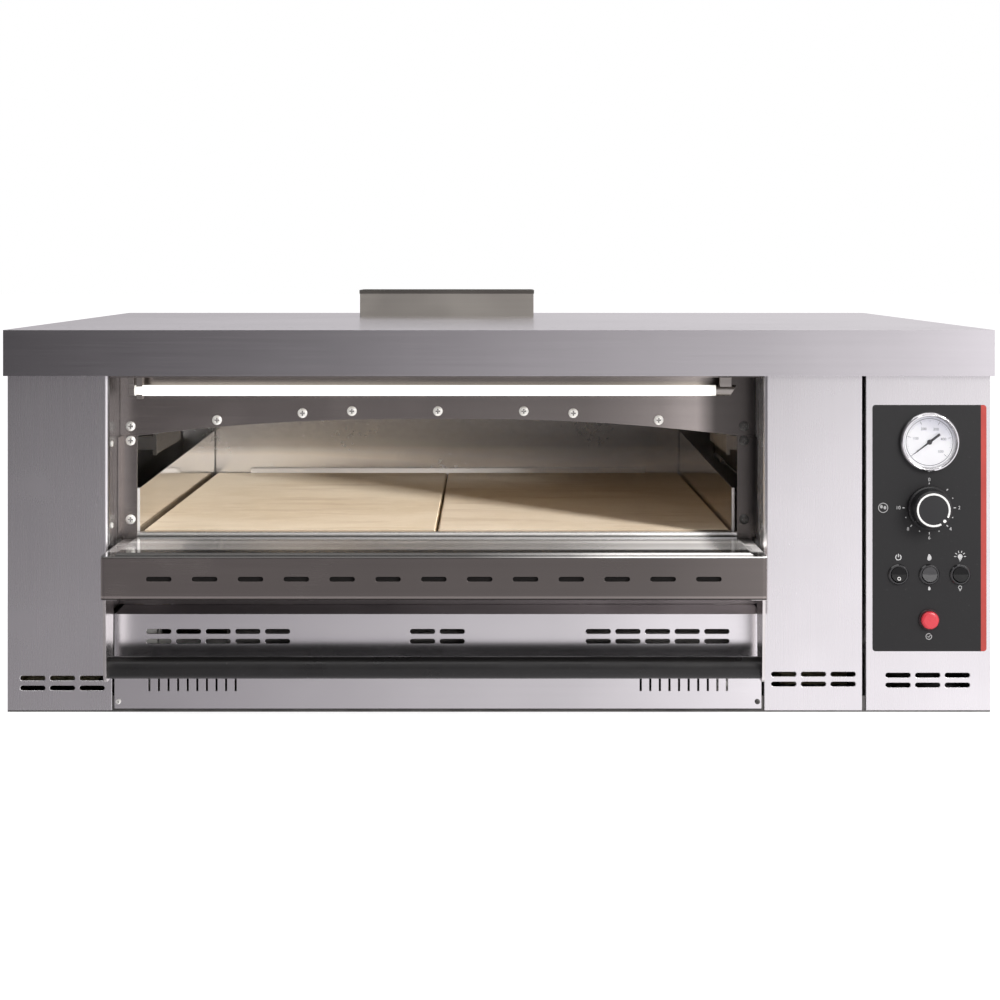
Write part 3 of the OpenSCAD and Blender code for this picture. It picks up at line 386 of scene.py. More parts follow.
def brass_material():
    """Turned brass with a little tarnish."""
    s = Shader("brass", Metallic=1.0)
    turned = s.noise((700, 2200, 700), 2.0, 0.6)
    tarnish = s.noise(60.0, 4.0, 0.65)
    base = s.blend(s.ramp(tarnish, 0.4, 0.75, 0.0, 0.8), (0.80, 0.60, 0.28), (0.42, 0.28, 0.12))
    s.feed("Base Color", base)
    s.feed("Roughness", s.sum("ADD", s.ramp(tarnish, 0.3, 0.7, 0.22, 0.45),
                              s.ramp(turned, 0.3, 0.7, -0.03, 0.05)))
    s.relief(turned, 0.2, 0.00004, 0.0003)
    return s.mat


def cast_material(name, colour, rough, metal=0.85, soot=0.55, shade=None, cavity=0.0):
    """Dull or cast metal with soot. shade is painted light and shade as (metres, level) stops along X. cavity
    paints shade into recesses.
    """
    s = Shader(name, Metallic=metal)
    sand = s.noise(900.0, 4.0, 0.65)
    cloud = s.noise(30.0, 4.0, 0.6, (2, 6, 1))
    base = s.blend(s.ramp(cloud, 0.4, 0.75, 0.0, soot), colour, times(colour, 0.45))
    # painted light and shade along X
    if shade:
        base = s.blend(1.0, base, s.along(0, shade), "MULTIPLY")
    # painted shade in recesses, found by a short occlusion test
    if cavity:
        hidden = s.add("ShaderNodeAmbientOcclusion", samples=6, only_local=True)
        hidden.inputs["Distance"].default_value = cavity
        base = s.blend(s.ramp(hidden.outputs["AO"], 0.55, 0.92, 1.0, 0.0), base, (0.16, 0.15, 0.14))
    s.feed("Base Color", base)
    s.feed("Roughness", s.ramp(sand, 0.3, 0.7, rough - 0.08, rough + 0.12))
    s.relief(sand, 0.4, 0.0002, 0.0005)
    return s.mat


# ------------------------------------------------------------------ materials

# Levels are stops in metres along the sheet. They are painted light, shade and reflections that follow a room
# that is not modelled.
PANEL = (0.880, 0.864, 0.878)
M = {
    # painted shade: darker towards the top, and side_level darkens the reveals that look right
    "panel_v": steel("steel_vertical", PANEL, 0.27, GRAIN_Z, 0.35, 0.25, streak=0.004, smudge=0.015,
                     bump=0.004, edge=0.0011, side_level=0.30, left_metal=0.80,
                     heights=[(0.0, 1.03), (0.12, 1.0), (0.22, 0.94), (0.34, 0.80)]),
    # painted light and shade: levels along X on the front, darker towards the bottom, and up_shade paints the
    # door's shade on the top flange
    "panel_h": steel("steel_cross", PANEL, 0.21, GRAIN_X, 0.35, streak=0.006, smudge=0.02, bump=0.006,
                     front_only=True,
                     shade=[(-0.39, 1.02), (-0.10, 1.03), (0.0, 0.98), (0.08, 0.95), (0.262, 1.12)],
                     heights=[(0.0, 0.90), (0.04, 0.93), (0.06, 1.0), (0.10, 1.0)],
                     up_shade=[(-0.39, 0.26), (-0.19, 0.33), (-0.09, 0.40), (0.01, 0.60), (0.11, 0.95),
                               (0.262, 1.2)]),
    "side_y": steel("steel_side", (0.80, 0.785, 0.80), 0.30, GRAIN_Y, streak=0.022, smudge=0.05),
    # painted reflection: the front runs from dark at the left to bright at the right
    "hood": steel("hood_steel", (0.80, 0.78, 0.80), 0.22, GRAIN_X, 0.30, streak=0.010, smudge=0.02, bump=0.02,
                  front_only=True,
                  shade=[(-0.500, 0.61), (-0.463, 0.635), (-0.352, 0.765), (-0.200, 0.765), (-0.049, 0.83),
                         (0.102, 0.91), (0.253, 0.895), (0.404, 0.94), (0.500, 1.04)]),
    # painted shade: heights darken the top hem
    "collar": steel("collar_steel", (0.38, 0.36, 0.325), 0.38, GRAIN_X, streak=0.02, smudge=0.06,
                    heights=[(0.380, 1.0), (0.4150, 1.0), (0.4158, 0.36), (0.430, 0.36)]),
    "frame": cast_material("frame_steel", (0.16, 0.155, 0.15), 0.55),
    # painted light and shadow along X: a bright band near the right, and the right jamb in painted shadow
    "inner": steel("inner_steel", (0.56, 0.51, 0.48), 0.20, GRAIN_X, streak=0.02, smudge=0.04, bump=0.03,
                   shade=[(-0.395, 0.74), (-0.37, 0.78), (-0.33, 0.74), (-0.28, 0.74), (-0.16, 0.66),
                          (-0.06, 0.56), (0.09, 0.50), (0.14, 0.62), (0.168, 0.70), (0.19, 0.95),
                          (0.207, 1.05), (0.216, 0.60), (0.2255, 0.22), (0.235, 0.20), (0.268, 0.14)]),
    # painted shade under the door: a dark colour, with levels that lighten towards the right
    "beam": steel("beam_steel", (0.50, 0.45, 0.45), 0.34, GRAIN_X, streak=0.03, smudge=0.08,
                  shade=[(-0.39, 0.70), (-0.19, 0.74), (0.01, 0.98), (0.11, 1.1), (0.17, 1.15), (0.25, 1.3)]),
    # painted shade: the left side wall is nearly black
    "chamber": cast_material("chamber_sheet", (0.80, 0.76, 0.72), 0.42, soot=0.16,
                             shade=[(-0.40, 0.16), (-0.372, 0.16), (-0.366, 1.0), (0.24, 1.0), (0.26, 0.8)]),
    # painted reflection of the lit stones low on the wall, brighter at the left, and painted shade under the
    # lintel above
    "rear": steel("rear_sheet", (0.98, 0.965, 0.945), 0.24, (160.0,) * 3, streak=0.02, smudge=0.02, bump=0.0,
                  shade=[(-0.35, 1.30), (-0.289, 1.36), (-0.235, 1.25), (-0.182, 1.06), (-0.129, 0.94),
                         (-0.075, 0.82), (-0.022, 0.77), (0.032, 0.69), (0.085, 0.62), (0.139, 0.63),
                         (0.192, 0.76), (0.246, 0.90)],
                  heights=[(0.174, 1.40), (0.183, 1.32), (0.1965, 0.84), (0.210, 0.44), (0.222, 0.37),
                           (0.28, 0.37)]),
    "rack": steel("rack_steel", (0.90, 0.88, 0.85), 0.42, GRAIN_X, streak=0.02, smudge=0.06, front_metal=0.9),
    # painted highlight along the top of the front face, painted shade below it, brighter towards the right
    "lip": steel("lip_steel", (0.88, 0.87, 0.85), 0.20, GRAIN_X, streak=0.01, smudge=0.02, front_metal=0.95,
                 metal_along=[(-0.39, 0.97), (-0.10, 0.92), (0.10, 0.80), (0.22, 0.70), (0.262, 0.95)],
                 shade=[(-0.39, 0.85), (0.0, 1.0), (0.10, 1.05), (0.15, 1.3), (0.21, 1.6), (0.235, 1.2)],
                 heights=[(0.120, 0.20), (0.1690, 0.20), (0.1700, 0.34), (0.1712, 1.05), (0.1726, 1.05),
                          (0.1730, 0.66)]),
    # painted reflections and shade on the door's top: levels along X, Y and Z, and on the front
    "polished": steel("polished_steel", (0.84, 0.82, 0.80), 0.09, GRAIN_X, streak=0.03, smudge=0.04,
                      scratch=0.12, bump=0.02, front_metal=0.80, front_only=True,
                      shade=[(-0.39, 0.12), (-0.03, 0.13), (0.02, 0.25), (0.07, 0.42), (0.11, 0.82),
                             (0.262, 1.0)],
                      heights=[(0.12, 1.0), (0.1665, 1.0), (0.1670, 0.5), (0.1674, 0.5), (0.1678, 1.0),
                               (0.1686, 1.0), (0.1689, 0.5), (0.17, 0.5)],
                      metal_along=[(-0.39, 0.66), (-0.35, 0.67), (-0.30, 0.76), (-0.20, 0.81), (-0.15, 0.86),
                                   (-0.10, 0.82), (-0.05, 0.80), (0.0, 0.73), (0.05, 0.69), (0.10, 0.51),
                                   (0.145, 0.33), (0.19, 0.25), (0.215, 0.20), (0.228, 0.50), (0.262, 0.45)],
                      up_shade=[(-0.39, 1.2), (-0.345, 1.2), (-0.31, 1.0), (0.205, 1.0), (0.220, 0.42),
                                (0.238, 0.40), (0.250, 0.6), (0.257, 1.1)],
                      up_depth=[(-0.464, 0.12), (-0.4535, 0.12), (-0.434, 0.16), (-0.429, 1.2), (-0.424, 2.3),
                                (-0.412, 2.3), (-0.405, 2.0), (-0.384, 2.0), (-0.375, 3.2), (-0.366, 3.2),
                                (-0.358, 1.5), (-0.347, 1.1), (-0.340, 0.22), (-0.32, 0.10)]),
    "guard": steel("guard_steel", (0.77, 0.75, 0.735), 0.09, GRAIN_Y, streak=0.01, smudge=0.05, scratch=0.05,
                   bump=0.01, front_metal=0.10),
    # painted light and shade: a painted highlight along the bottom fold, painted shade at the bottom and top
    # edges, levels along X on the front and a darkened top edge
    "door": steel("door_steel", (0.36, 0.325, 0.305), 0.24, GRAIN_X, 0.25, streak=0.016, smudge=0.05,
                  bump=0.03, front_only=True,
                  shade=[(-0.39, 0.90), (-0.18, 0.66), (0.0, 0.50), (0.15, 0.46), (0.262, 0.58)],
                  heights=[(0.1247, 0.2), (0.1255, 0.3), (0.1260, 1.0), (0.1265, 1.9), (0.1278, 1.9),
                           (0.1286, 1.0), (0.1648, 1.0), (0.1655, 0.45), (0.1663, 0.20), (0.17, 0.20)],
                  up_shade=[(-0.39, 0.36), (0.02, 0.40), (0.262, 0.45)]),
    "arm": steel("arm_steel", (0.84, 0.81, 0.79), 0.20, GRAIN_Z, streak=0.03, smudge=0.06),
    "overlay": plastic("overlay_film", (0.0060, 0.0060, 0.0066), 0.50, grain=1600, spread=0.10, dust=0.05,
                       bump=0.10),
    "stripe": plastic("stripe_red", (0.42, 0.046, 0.036), 0.42, grain=1600, spread=0.05, bump=0.08),
    "knob": plastic("knob_black", (0.013, 0.013, 0.014), 0.36, grain=1500, bump=0.22, dust=0.04),
    "rocker": plastic("rocker_black", (0.004, 0.004, 0.0045), 0.50, spec=0.25, grain=1200, bump=0.10),
    "rocker_rim": plastic("rocker_rim", (0.010, 0.010, 0.011), 0.20, coat=0.6, grain=1200, bump=0.06),
    # painted light: the flame rocker is a lighter grey than the other rockers, standing in for light on its
    # tilted lower half
    "rocker_grey": plastic("rocker_grey", (0.040, 0.040, 0.042), 0.40, coat=0.1, grain=1200, bump=0.10),
    "red": plastic("reset_red", (0.54, 0.030, 0.044), 0.30, coat=0.35, grain=1400, spread=0.04, bump=0.08),
    "ring": plastic("reset_ring", (0.030, 0.008, 0.010), 0.32, coat=0.2, grain=1200),
    "handle": plastic("handle_black", (0.009, 0.0085, 0.0085), 0.30, grain=1100, bump=0.25, spread=0.15,
                      dust=0.05),
    "box": plastic("box_plastic", (0.035, 0.036, 0.038), 0.45, grain=700),
    "ceramic": plastic("ceramic_white", (0.82, 0.80, 0.74), 0.18, coat=0.6, grain=500, spread=0.04),
    "chrome": steel("chrome", (0.90, 0.90, 0.91), 0.07, coarser(GRAIN_X, 0.7), streak=0.01, smudge=0.06,
                    bump=0.02),
    # painted shade: screws on the right jamb are darkened, and cavity darkens their recesses
    "screw": cast_material("screw_zinc", (0.93, 0.92, 0.88), 0.34, metal=0.45, soot=0.18, cavity=0.0016,
                           shade=[(-0.5, 1.0), (0.19, 1.0), (0.235, 0.10), (0.262, 0.10), (0.30, 0.9),
                                  (0.5, 0.9)]),
    "burner": cast_material("burner_steel", (0.50, 0.48, 0.46), 0.50),
    "valve": cast_material("valve_cast", (0.62, 0.62, 0.63), 0.42),
    "brass": brass_material(),
    "wool": wool_material("mineral_wool", (0.84, 0.77, 0.52), (0.50, 0.41, 0.22)),
    # painted shade: the door's wool is coloured nearly black so that the slots in the door read as deep
    # shadow
    "wool_painted_dark": wool_material("door_wool_painted_dark", (0.014, 0.012, 0.011), (0.007, 0.006, 0.006)),
    "stone_l": stone_material("stone_left", (0.80, 0.695, 0.545), (2.0, 5.0, 1.0)),
    "stone_r": stone_material("stone_right", (0.78, 0.675, 0.535), (8.0, 1.0, 4.0)),
    "lamp": lamp_material(),
    "lamp_metal": steel("lamp_metal", (0.46, 0.43, 0.40), 0.32, GRAIN_X, streak=0.05, smudge=0.08),
    "glass": window_material(),
    "dial": dial_material(),
    "needle": plastic("needle_black", (0.012, 0.012, 0.014), 0.30, coat=0.3, grain=2000, spread=0.05,
                      bump=0.03),
    "ink_white": print_ink("ink_white", (0.78, 0.78, 0.76)),
    "ink_pale": print_ink("ink_pale", (0.50, 0.50, 0.50)),
    "ink_grey": print_ink("ink_grey", (0.36, 0.36, 0.36)),
    "ink_dark": print_ink("ink_dark", (0.11, 0.115, 0.13)),
}

# which pieces wear each material
DRESS = {
    "panel_v": ["front_left_panel", "front_right_panel", "control_column"],
    "panel_h": ["burner_cover"],
    "side_y": ["left_side_panel", "right_side_panel", "rear_panel"],
    "hood": ["top_cover"],
    "collar": ["flue_collar"],
    "frame": ["base_tray", "flue_duct", "partition", "hinge_bushes"],
    "beam": ["hinge_beam"],
    "inner": ["lintel", "left_jamb", "right_jamb", "soffit"],
    "chamber": ["chamber_shell", "side_rails"],
    "rear": ["chamber_rear_wall"],
    "rack": ["stone_rack"],
    "lip": ["threshold"],
    "polished": ["door_inner_skin"],
    "guard": ["left_flame_guard", "right_flame_guard"],
    "door": ["door_outer_skin"],
    "arm": ["handle_arms"],
    "overlay": ["control_overlay"],
    "knob": ["knob"],
    "rocker_rim": ["rocker_housings"],
    "rocker": ["power_rocker", "lamp_rocker"],
    "rocker_grey": ["flame_rocker"],
    "red": ["reset_button"],
    "ring": ["reset_housing"],
    "handle": ["door_handle"],
    "box": ["ignition_box"],
    "ceramic": ["spark_electrode"],
    "chrome": ["gauge_case", "thermostat_shaft", "hinge_pins"],
    "screw": ["pan_screws", "small_screws", "handle_screws"],
    "burner": ["burners", "gas_manifold"],
    "valve": ["gas_valve", "thermostat"],
    "brass": ["injectors", "gas_inlet"],
    "wool": ["chamber_insulation"],
    "wool_painted_dark": ["door_insulation"],
    "stone_l": ["left_stone"],
    "stone_r": ["right_stone"],
    "lamp": ["lamp_tube"],
    "lamp_metal": ["lamp_holders"],
    "glass": ["gauge_glass"],
    "dial": ["gauge_dial"],
    "needle": ["gauge_needle"],
}
for key, names in DRESS.items():
    for name in names:
        NODES[name].data.materials.clear()
        NODES[name].data.materials.append(M[key])


# ------------------------------------------------------------------ pieces drawn on a face

def placed(name, data):
    """A new object in the scene."""
    made = bpy.data.objects.new(name, data)
    bpy.context.scene.collection.objects.link(made)
    return made


def middle(node):
    lo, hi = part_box(node)
    return (lo + hi) / 2


def polar(x, z, r, degrees):
    """A point at a clockwise angle from straight up, seen from the front."""
    a = math.radians(degrees)
    return (x + r * math.sin(a), z + r * math.cos(a))


class Sheet:
    """Thin shapes drawn in X and Z on a face that looks to the front. Its depth, in Y, may depend on z."""

    def __init__(self, depth, thick):
        self.bm = bmesh.new()
        self.depth = depth if callable(depth) else lambda z: depth
        self.thick = thick

    def row(self, points, lift):
        return [self.bm.verts.new((x, self.depth(z) - lift, z)) for x, z in points]

    def loop(self, points):
        """A filled outline."""
        area = sum(a[0] * b[1] - b[0] * a[1] for a, b in zip(points, points[1:] + points[:1]))
        if area < 0:
            points = points[::-1]
        front, back = self.row(points, self.thick), self.row(points, 0)
        self.bm.faces.new(front)
        n = len(points)
        for i in range(n):
            j = (i + 1) % n
            self.bm.faces.new((front[j], front[i], back[i], back[j]))

    def disc(self, x, z, r, steps=28):
        self.loop([polar(x, z, r, 360 * i / steps) for i in range(steps)])

    def band(self, outer, inner):
        """Closed band between two outlines with the same number of points."""
        n = len(outer)
        outer_front, inner_front = self.row(outer, self.thick), self.row(inner, self.thick)
        outer_back, inner_back = self.row(outer, 0), self.row(inner, 0)
        for i in range(n):
            j = (i + 1) % n
            self.bm.faces.new((outer_front[i], outer_front[j], inner_front[j], inner_front[i]))
            self.bm.faces.new((outer_front[j], outer_front[i], outer_back[i], outer_back[j]))
            self.bm.faces.new((inner_front[i], inner_front[j], inner_back[j], inner_back[i]))

    def ring(self, x, z, r, w, steps=72):
        self.band([polar(x, z, r + w / 2, 360 * i / steps) for i in range(steps)],
                  [polar(x, z, r - w / 2, 360 * i / steps) for i in range(steps)])

    def arc(self, x, z, r, w, a0, a1):
        """Part of a ring, clockwise from a0 to a1, with round ends."""
        n = max(6, int(abs(a1 - a0) / 5))
        end, start = polar(x, z, r, a1), polar(x, z, r, a0)
        out = [polar(x, z, r + w / 2, a0 + (a1 - a0) * i / n) for i in range(n + 1)]
        out += [polar(*end, w / 2, a1 + t) for t in (36, 72, 108, 144)]
        out += [polar(x, z, r - w / 2, a1 + (a0 - a1) * i / n) for i in range(n + 1)]
        out += [polar(*start, w / 2, a0 + 180 + t) for t in (36, 72, 108, 144)]
        self.loop(out)

    def bar(self, p, q, w):
        """A straight stroke with round ends."""
        (x0, z0), (x1, z1) = p, q
        a = math.degrees(math.atan2(x1 - x0, z1 - z0))
        out = [polar(x1, z1, w / 2, a - 90 + t) for t in (0, 36, 72, 108, 144, 180)]
        out += [polar(x0, z0, w / 2, a + 90 + t) for t in (0, 36, 72, 108, 144, 180)]
        self.loop(out)

    def box(self, x0, x1, z0, z1):
        self.loop([(x0, z0), (x1, z0), (x1, z1), (x0, z1)])

    def digits(self, text, x, z, size):
        """Numbers, centred on a point."""
        curve = bpy.data.curves.new("digits", "FONT")
        curve.body = text
        curve.size = size
        curve.align_x = "CENTER"
        curve.align_y = "CENTER"
        curve.extrude = self.thick / 2
        curve.resolution_u = 4
        made = placed("digits", curve)
        mesh = bpy.data.meshes.new_from_object(made)
        place = Matrix.Translation((x, self.depth(z) - self.thick / 2, z))
        mesh.transform(place @ Matrix.Rotation(math.pi / 2, 4, "X"))
        self.bm.from_mesh(mesh)
        bpy.data.objects.remove(made)
        bpy.data.curves.remove(curve)
        bpy.data.meshes.remove(mesh)

    def done(self, name, body, material, slot):
        finish_piece(self.bm, name, body, material)


def finish_piece(bm, name, body, material, smooth=0.0):
    """Makes a named piece that rides on a body. smooth is the angle up to which its edges look round."""
    bmesh.ops.recalc_face_normals(bm, faces=bm.faces)
    mesh = bpy.data.meshes.new(name)
    bm.to_mesh(mesh)
    bm.free()
    if smooth:
        mesh.shade_smooth()
        mesh.set_sharp_from_angle(angle=math.radians(smooth))
    mesh.materials.append(M[material])
    made = placed(name, mesh)
    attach(made, body)


# ------------------------------------------------------------------ control panel printing

film_low, film_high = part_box("control_overlay")
INK = 0.05 * MM
STRIPE_WIDTH = 5.7 * MM
FILM_CORNER = 3 * MM
DIGIT_SIZE = 5.0 * MM
HEAT_MARK_LEFT = 46.6 * MM


def film_print():
    return Sheet(film_low.y, INK)


def red_stripe():
    """Down the right edge, following the film's rounded corners."""
    x0, x1 = film_high.x - STRIPE_WIDTH, film_high.x
    z0, z1 = film_low.z, film_high.z
    low_z, high_z = z0 + FILM_CORNER, z1 - FILM_CORNER
    corner_x = x1 - FILM_CORNER
    outline = [(x0, z0), (corner_x, z0)]
    outline += [polar(corner_x, low_z, FILM_CORNER, 180 - 90 * i / 8) for i in range(1, 9)]
    outline += [polar(corner_x, high_z, FILM_CORNER, 90 - 90 * i / 8) for i in range(9)]
    outline += [(x0, z1)]
    stripe = film_print()
    stripe.loop(outline)
    stripe.done("overlay_stripe", "casing", "stripe", "overlay_film")


def knob_scale():
    """Ticks every 45 degrees with dots between them, and numbers outside."""
    def at(radius, angle):
        return polar(knob_at.x, knob_at.z, radius * MM, angle)

    scale = film_print()
    for step in range(11):
        angle = 45 + 22.5 * step
        if angle % 45:
            scale.disc(*at(25.6, angle), 0.62 * MM, 14)
        else:
            scale.bar(at(25.1, angle), at(26.5, angle), 1.0 * MM)
    for number, angle in (("2", 90), ("4", 135), ("6", 180), ("8", 225), ("10", 270)):
        scale.digits(number, *at(31.4 if number == "10" else 30.4, angle), DIGIT_SIZE)
    scale.digits("0", *at(28.4, 0), DIGIT_SIZE)
    scale.bar(at(24.0, 0), at(25.3, 0), 0.9 * MM)
    scale.done("knob_scale", "casing", "ink_pale", "overlay_film")


def heat_mark():
    """Beside the knob: a ring round two lobes."""
    heat = film_print()
    x, z = knob_at.x - HEAT_MARK_LEFT, knob_at.z
    heat.ring(x, z, 4.7 * MM, 0.7 * MM, 40)
    for side in (-1, 1):
        lobe = []
        for i in range(20):
            a = 2 * math.pi * i / 20
            r = (1.55 + 0.55 * math.cos(a)) * MM
            lobe.append((x + side * 1.75 * MM + 0.85 * r * math.sin(a),
                         z - side * 0.5 * MM + 1.15 * r * math.cos(a)))
        heat.loop(lobe)
    heat.done("heat_mark", "casing", "ink_grey", "overlay_film")


def flame(sheet, x, z, h):
    """A plain flame outline, h high, its middle at x and z."""
    pts = []
    for i in range(36):
        a = 2 * math.pi * i / 36
        half = 0.30 * h * math.sin(a) * (1 - 0.38 * math.cos(a))
        up = 0.5 * h * math.cos(a)
        lean = 0.07 * h * math.sin(math.pi * (0.5 + up / h))
        pts.append((x + half + lean - 0.03 * h, z + up))
    sheet.loop(pts)


def bulb(sheet, x, z, h, rays):
    """A light bulb, h high, with rays when it is on."""
    r = 0.34 * h
    cz = z + 0.5 * h - r
    pts = [polar(x, cz, r, a) for a in range(-140, 141, 14)]
    pts += [(x + 0.17 * h, z - 0.28 * h), (x - 0.17 * h, z - 0.28 * h)]
    if rays:
        sheet.loop(pts)
        for a in (-90, -54, -18, 18, 54, 90):
            sheet.bar(polar(x, cz, r + 0.22 * h, a), polar(x, cz, r + 0.46 * h, a), 0.10 * h)
    else:
        inner = [polar(x, cz, r - 0.11 * h, a) for a in range(-140, 141, 14)]
        inner += [(x + 0.08 * h, z - 0.19 * h), (x - 0.08 * h, z - 0.19 * h)]
        sheet.band(pts, inner)
    sheet.box(x - 0.13 * h, x + 0.13 * h, z - 0.40 * h, z - 0.33 * h)
    sheet.box(x - 0.09 * h, x + 0.09 * h, z - 0.50 * h, z - 0.44 * h)


def switch_marks():
    """On and off marks above and below the rockers."""
    marks = film_print()
    above, below = 17.4 * MM, 13.6 * MM
    stroke = 0.95 * MM
    x, z = power_at.x, power_at.z + above
    marks.arc(x, z, 2.7 * MM, stroke, 38, 322)
    marks.bar((x, z + 0.6 * MM), (x, z + 3.1 * MM), stroke)
    flame(marks, flame_at.x, flame_at.z + above, 6.6 * MM)
    flame(marks, flame_at.x, flame_at.z - below - 0.4 * MM, 4.0 * MM)
    bulb(marks, lamp_at.x, lamp_at.z + above - 0.3 * MM, 7.2 * MM, True)
    bulb(marks, lamp_at.x, lamp_at.z - below - 0.3 * MM, 5.6 * MM, False)
    marks.done("switch_marks", "casing", "ink_pale", "overlay_film")


def reset_mark():
    """A tick in an open ring below the reset button."""
    reset_at = middle("reset_button")
    tick = film_print()
    x, z = reset_at.x - 0.4 * MM, reset_at.z - 17.0 * MM
    tick.arc(x, z, 2.9 * MM, 0.75 * MM, 60, 385)
    tick.bar((x - 1.1 * MM, z + 0.2 * MM), (x - 0.1 * MM, z - 0.9 * MM), 0.7 * MM)
    tick.bar((x + 0.35 * MM, z - 0.35 * MM), (x + 1.9 * MM, z + 1.7 * MM), 0.7 * MM)
    tick.done("reset_mark", "casing", "ink_grey", "overlay_film")


knob_at = middle("knob")
power_at, flame_at, lamp_at = middle("power_rocker"), middle("flame_rocker"), middle("lamp_rocker")
red_stripe()
knob_scale()
heat_mark()
switch_marks()
reset_mark()


# ------------------------------------------------------------------ knob ring and pointer

# the pointer's clockwise angle from straight up
KNOB_POINTER = 135.0


def swept_arc(bm, x, z, y, r, w, h, a0, a1, steps):
    """A low rounded rib that follows an arc on a face at y, with closed round ends."""
    profile = [(-w / 2, 0.0), (-w / 2, h * 0.55), (-w * 0.32, h * 0.9), (0, h), (w * 0.32, h * 0.9),
               (w / 2, h * 0.55), (w / 2, 0.0)]
    rows = []
    for i in range(steps + 1):
        row = []
        for dr, dh in profile:
            px, pz = polar(x, z, r + dr, a0 + (a1 - a0) * i / steps)
            row.append(bm.verts.new((px, y - dh, pz)))
        rows.append(row)
    for i in range(steps):
        for k in range(len(profile) - 1):
            bm.faces.new((rows[i][k], rows[i + 1][k], rows[i + 1][k + 1], rows[i][k + 1]))
    for row in (rows[0], rows[-1]):
        bm.faces.new(row)


def dome(bm, x, z, y, r, h, rings=4, steps=24):
    """A low round button on a face at y."""
    rows = []
    for k in range(rings):
        t = k / rings
        rr, hh = r * math.cos(t * math.pi / 2), h * math.sin(t * math.pi / 2)
        around = [polar(x, z, rr, 360 * i / steps) for i in range(steps)]
        rows.append([bm.verts.new((px, y - hh, pz)) for px, pz in around])
    top = bm.verts.new((x, y - h, z))
    for k in range(rings - 1):
        for i in range(steps):
            j = (i + 1) % steps
            bm.faces.new((rows[k][i], rows[k][j], rows[k + 1][j], rows[k + 1][i]))
    for i in range(steps):
        bm.faces.new((rows[-1][i], rows[-1][(i + 1) % steps], top))
    bm.faces.new(rows[0])


def knob_marks():
    """A white ring on the knob's face, with a gap where the pointer's dot stands."""
    face_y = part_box("knob")[0].y + 0.05 * MM
    gap = 17
    ring = bmesh.new()
    swept_arc(ring, knob_at.x, knob_at.z, face_y, 15.9 * MM, 1.9 * MM, 0.35 * MM,
              KNOB_POINTER + gap, KNOB_POINTER + 360 - gap, 120)
    finish_piece(ring, "knob_ring", "knob_body", "ink_white", 50)
    dot = bmesh.new()
    dome(dot, *polar(knob_at.x, knob_at.z, 15.6 * MM, KNOB_POINTER), face_y, 1.7 * MM, 0.45 * MM)
    finish_piece(dot, "knob_pointer", "knob_body", "ink_white", 50)


knob_marks()


# ------------------------------------------------------------------ thermometer dial printing

# the angle of 0 on the scale, and from one hundred to the next
DIAL_ZERO, DIAL_STEP = 232.7, 51.5


def dial_marks():
    """Scale from 0 to 500 in tens, the line round it, and the needle's cap."""
    face_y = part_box("gauge_dial")[0].y
    centre = middle("gauge_dial")

    def at(radius, angle):
        return polar(centre.x, centre.z, radius * MM, angle)

    dial = Sheet(face_y, 0.04 * MM)
    for i in range(51):
        angle = DIAL_ZERO + DIAL_STEP * i / 10
        inner, stroke = (19.6, 0.50) if i % 10 == 0 else (20.6, 0.30) if i % 5 == 0 else (21.4, 0.20)
        dial.bar(at(inner, angle), at(22.6, angle), stroke * MM)
    for i in range(6):
        dial.digits(str(i * 100), *at(15.0 if i in (0, 5) else 14.4, DIAL_ZERO + DIAL_STEP * i), 3.9 * MM)
    dial.done("dial_scale", "casing", "ink_dark", "dial_white")

    rim = Sheet(face_y, 0.03 * MM)
    rim.ring(centre.x, centre.z, 23.75 * MM, 0.55 * MM, 96)
    rim.done("dial_rim_line", "casing", "ink_dark", "dial_white")

    cap = bmesh.new()
    dome(cap, centre.x, centre.z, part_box("gauge_needle")[0].y + 0.02 * MM, 1.9 * MM, 0.5 * MM)
    finish_piece(cap, "needle_cap", "needle_body", "needle", 50)


dial_marks()


# ------------------------------------------------------------------ marks on the power rocker

def rocker_half(side):
    """Depth at a height of the power rocker's upper (1) or lower (-1) half, from its largest front face."""
    faces = [p for p in NODES["power_rocker"].data.polygons
             if p.normal.y < -0.9 and (p.center.z - power_at.z) * side > 0]
    face = max(faces, key=lambda p: p.area)
    point, slope = face.center.copy(), face.normal.z / face.normal.y
    return lambda z: point.y - slope * (z - point.z)


def rocker_marks():
    """I and O on the two halves of the power rocker, lying on its tilted faces."""
    rise, half_thick = 3.6 * MM, 0.06 * MM
    for side, name in ((1, "rocker_on_mark"), (-1, "rocker_off_mark")):
        depth = rocker_half(side)
        mark = Sheet(lambda z: depth(z) + half_thick, 2 * half_thick)
        z = power_at.z + side * rise
        if side == 1:
            mark.box(power_at.x - 0.32 * MM, power_at.x + 0.32 * MM, z - 1.3 * MM, z + 1.3 * MM)
        else:
            mark.ring(power_at.x, z, 1.45 * MM, 0.60 * MM, 28)
        mark.done(name, "power_rocker_body", "ink_white", "rocker_black")


rocker_marks()


# ------------------------------------------------------------------ studio

def area_light(name, at, target, size, power, colour=(1, 1, 1), height=None):
    """A square light, or a strip when height is given, that points at target."""
    data = bpy.data.lights.new(name, "AREA")
    data.energy = power
    data.color = colour
    data.shape = "RECTANGLE" if height else "SQUARE"
    data.size = size
    if height:
        data.size_y = height
    made = placed(name, data)
    made.location = at
    made.rotation_mode = "QUATERNION"
    made.rotation_quaternion = (Vector(target) - Vector(at)).to_track_quat("-Z", "Y")
    return made


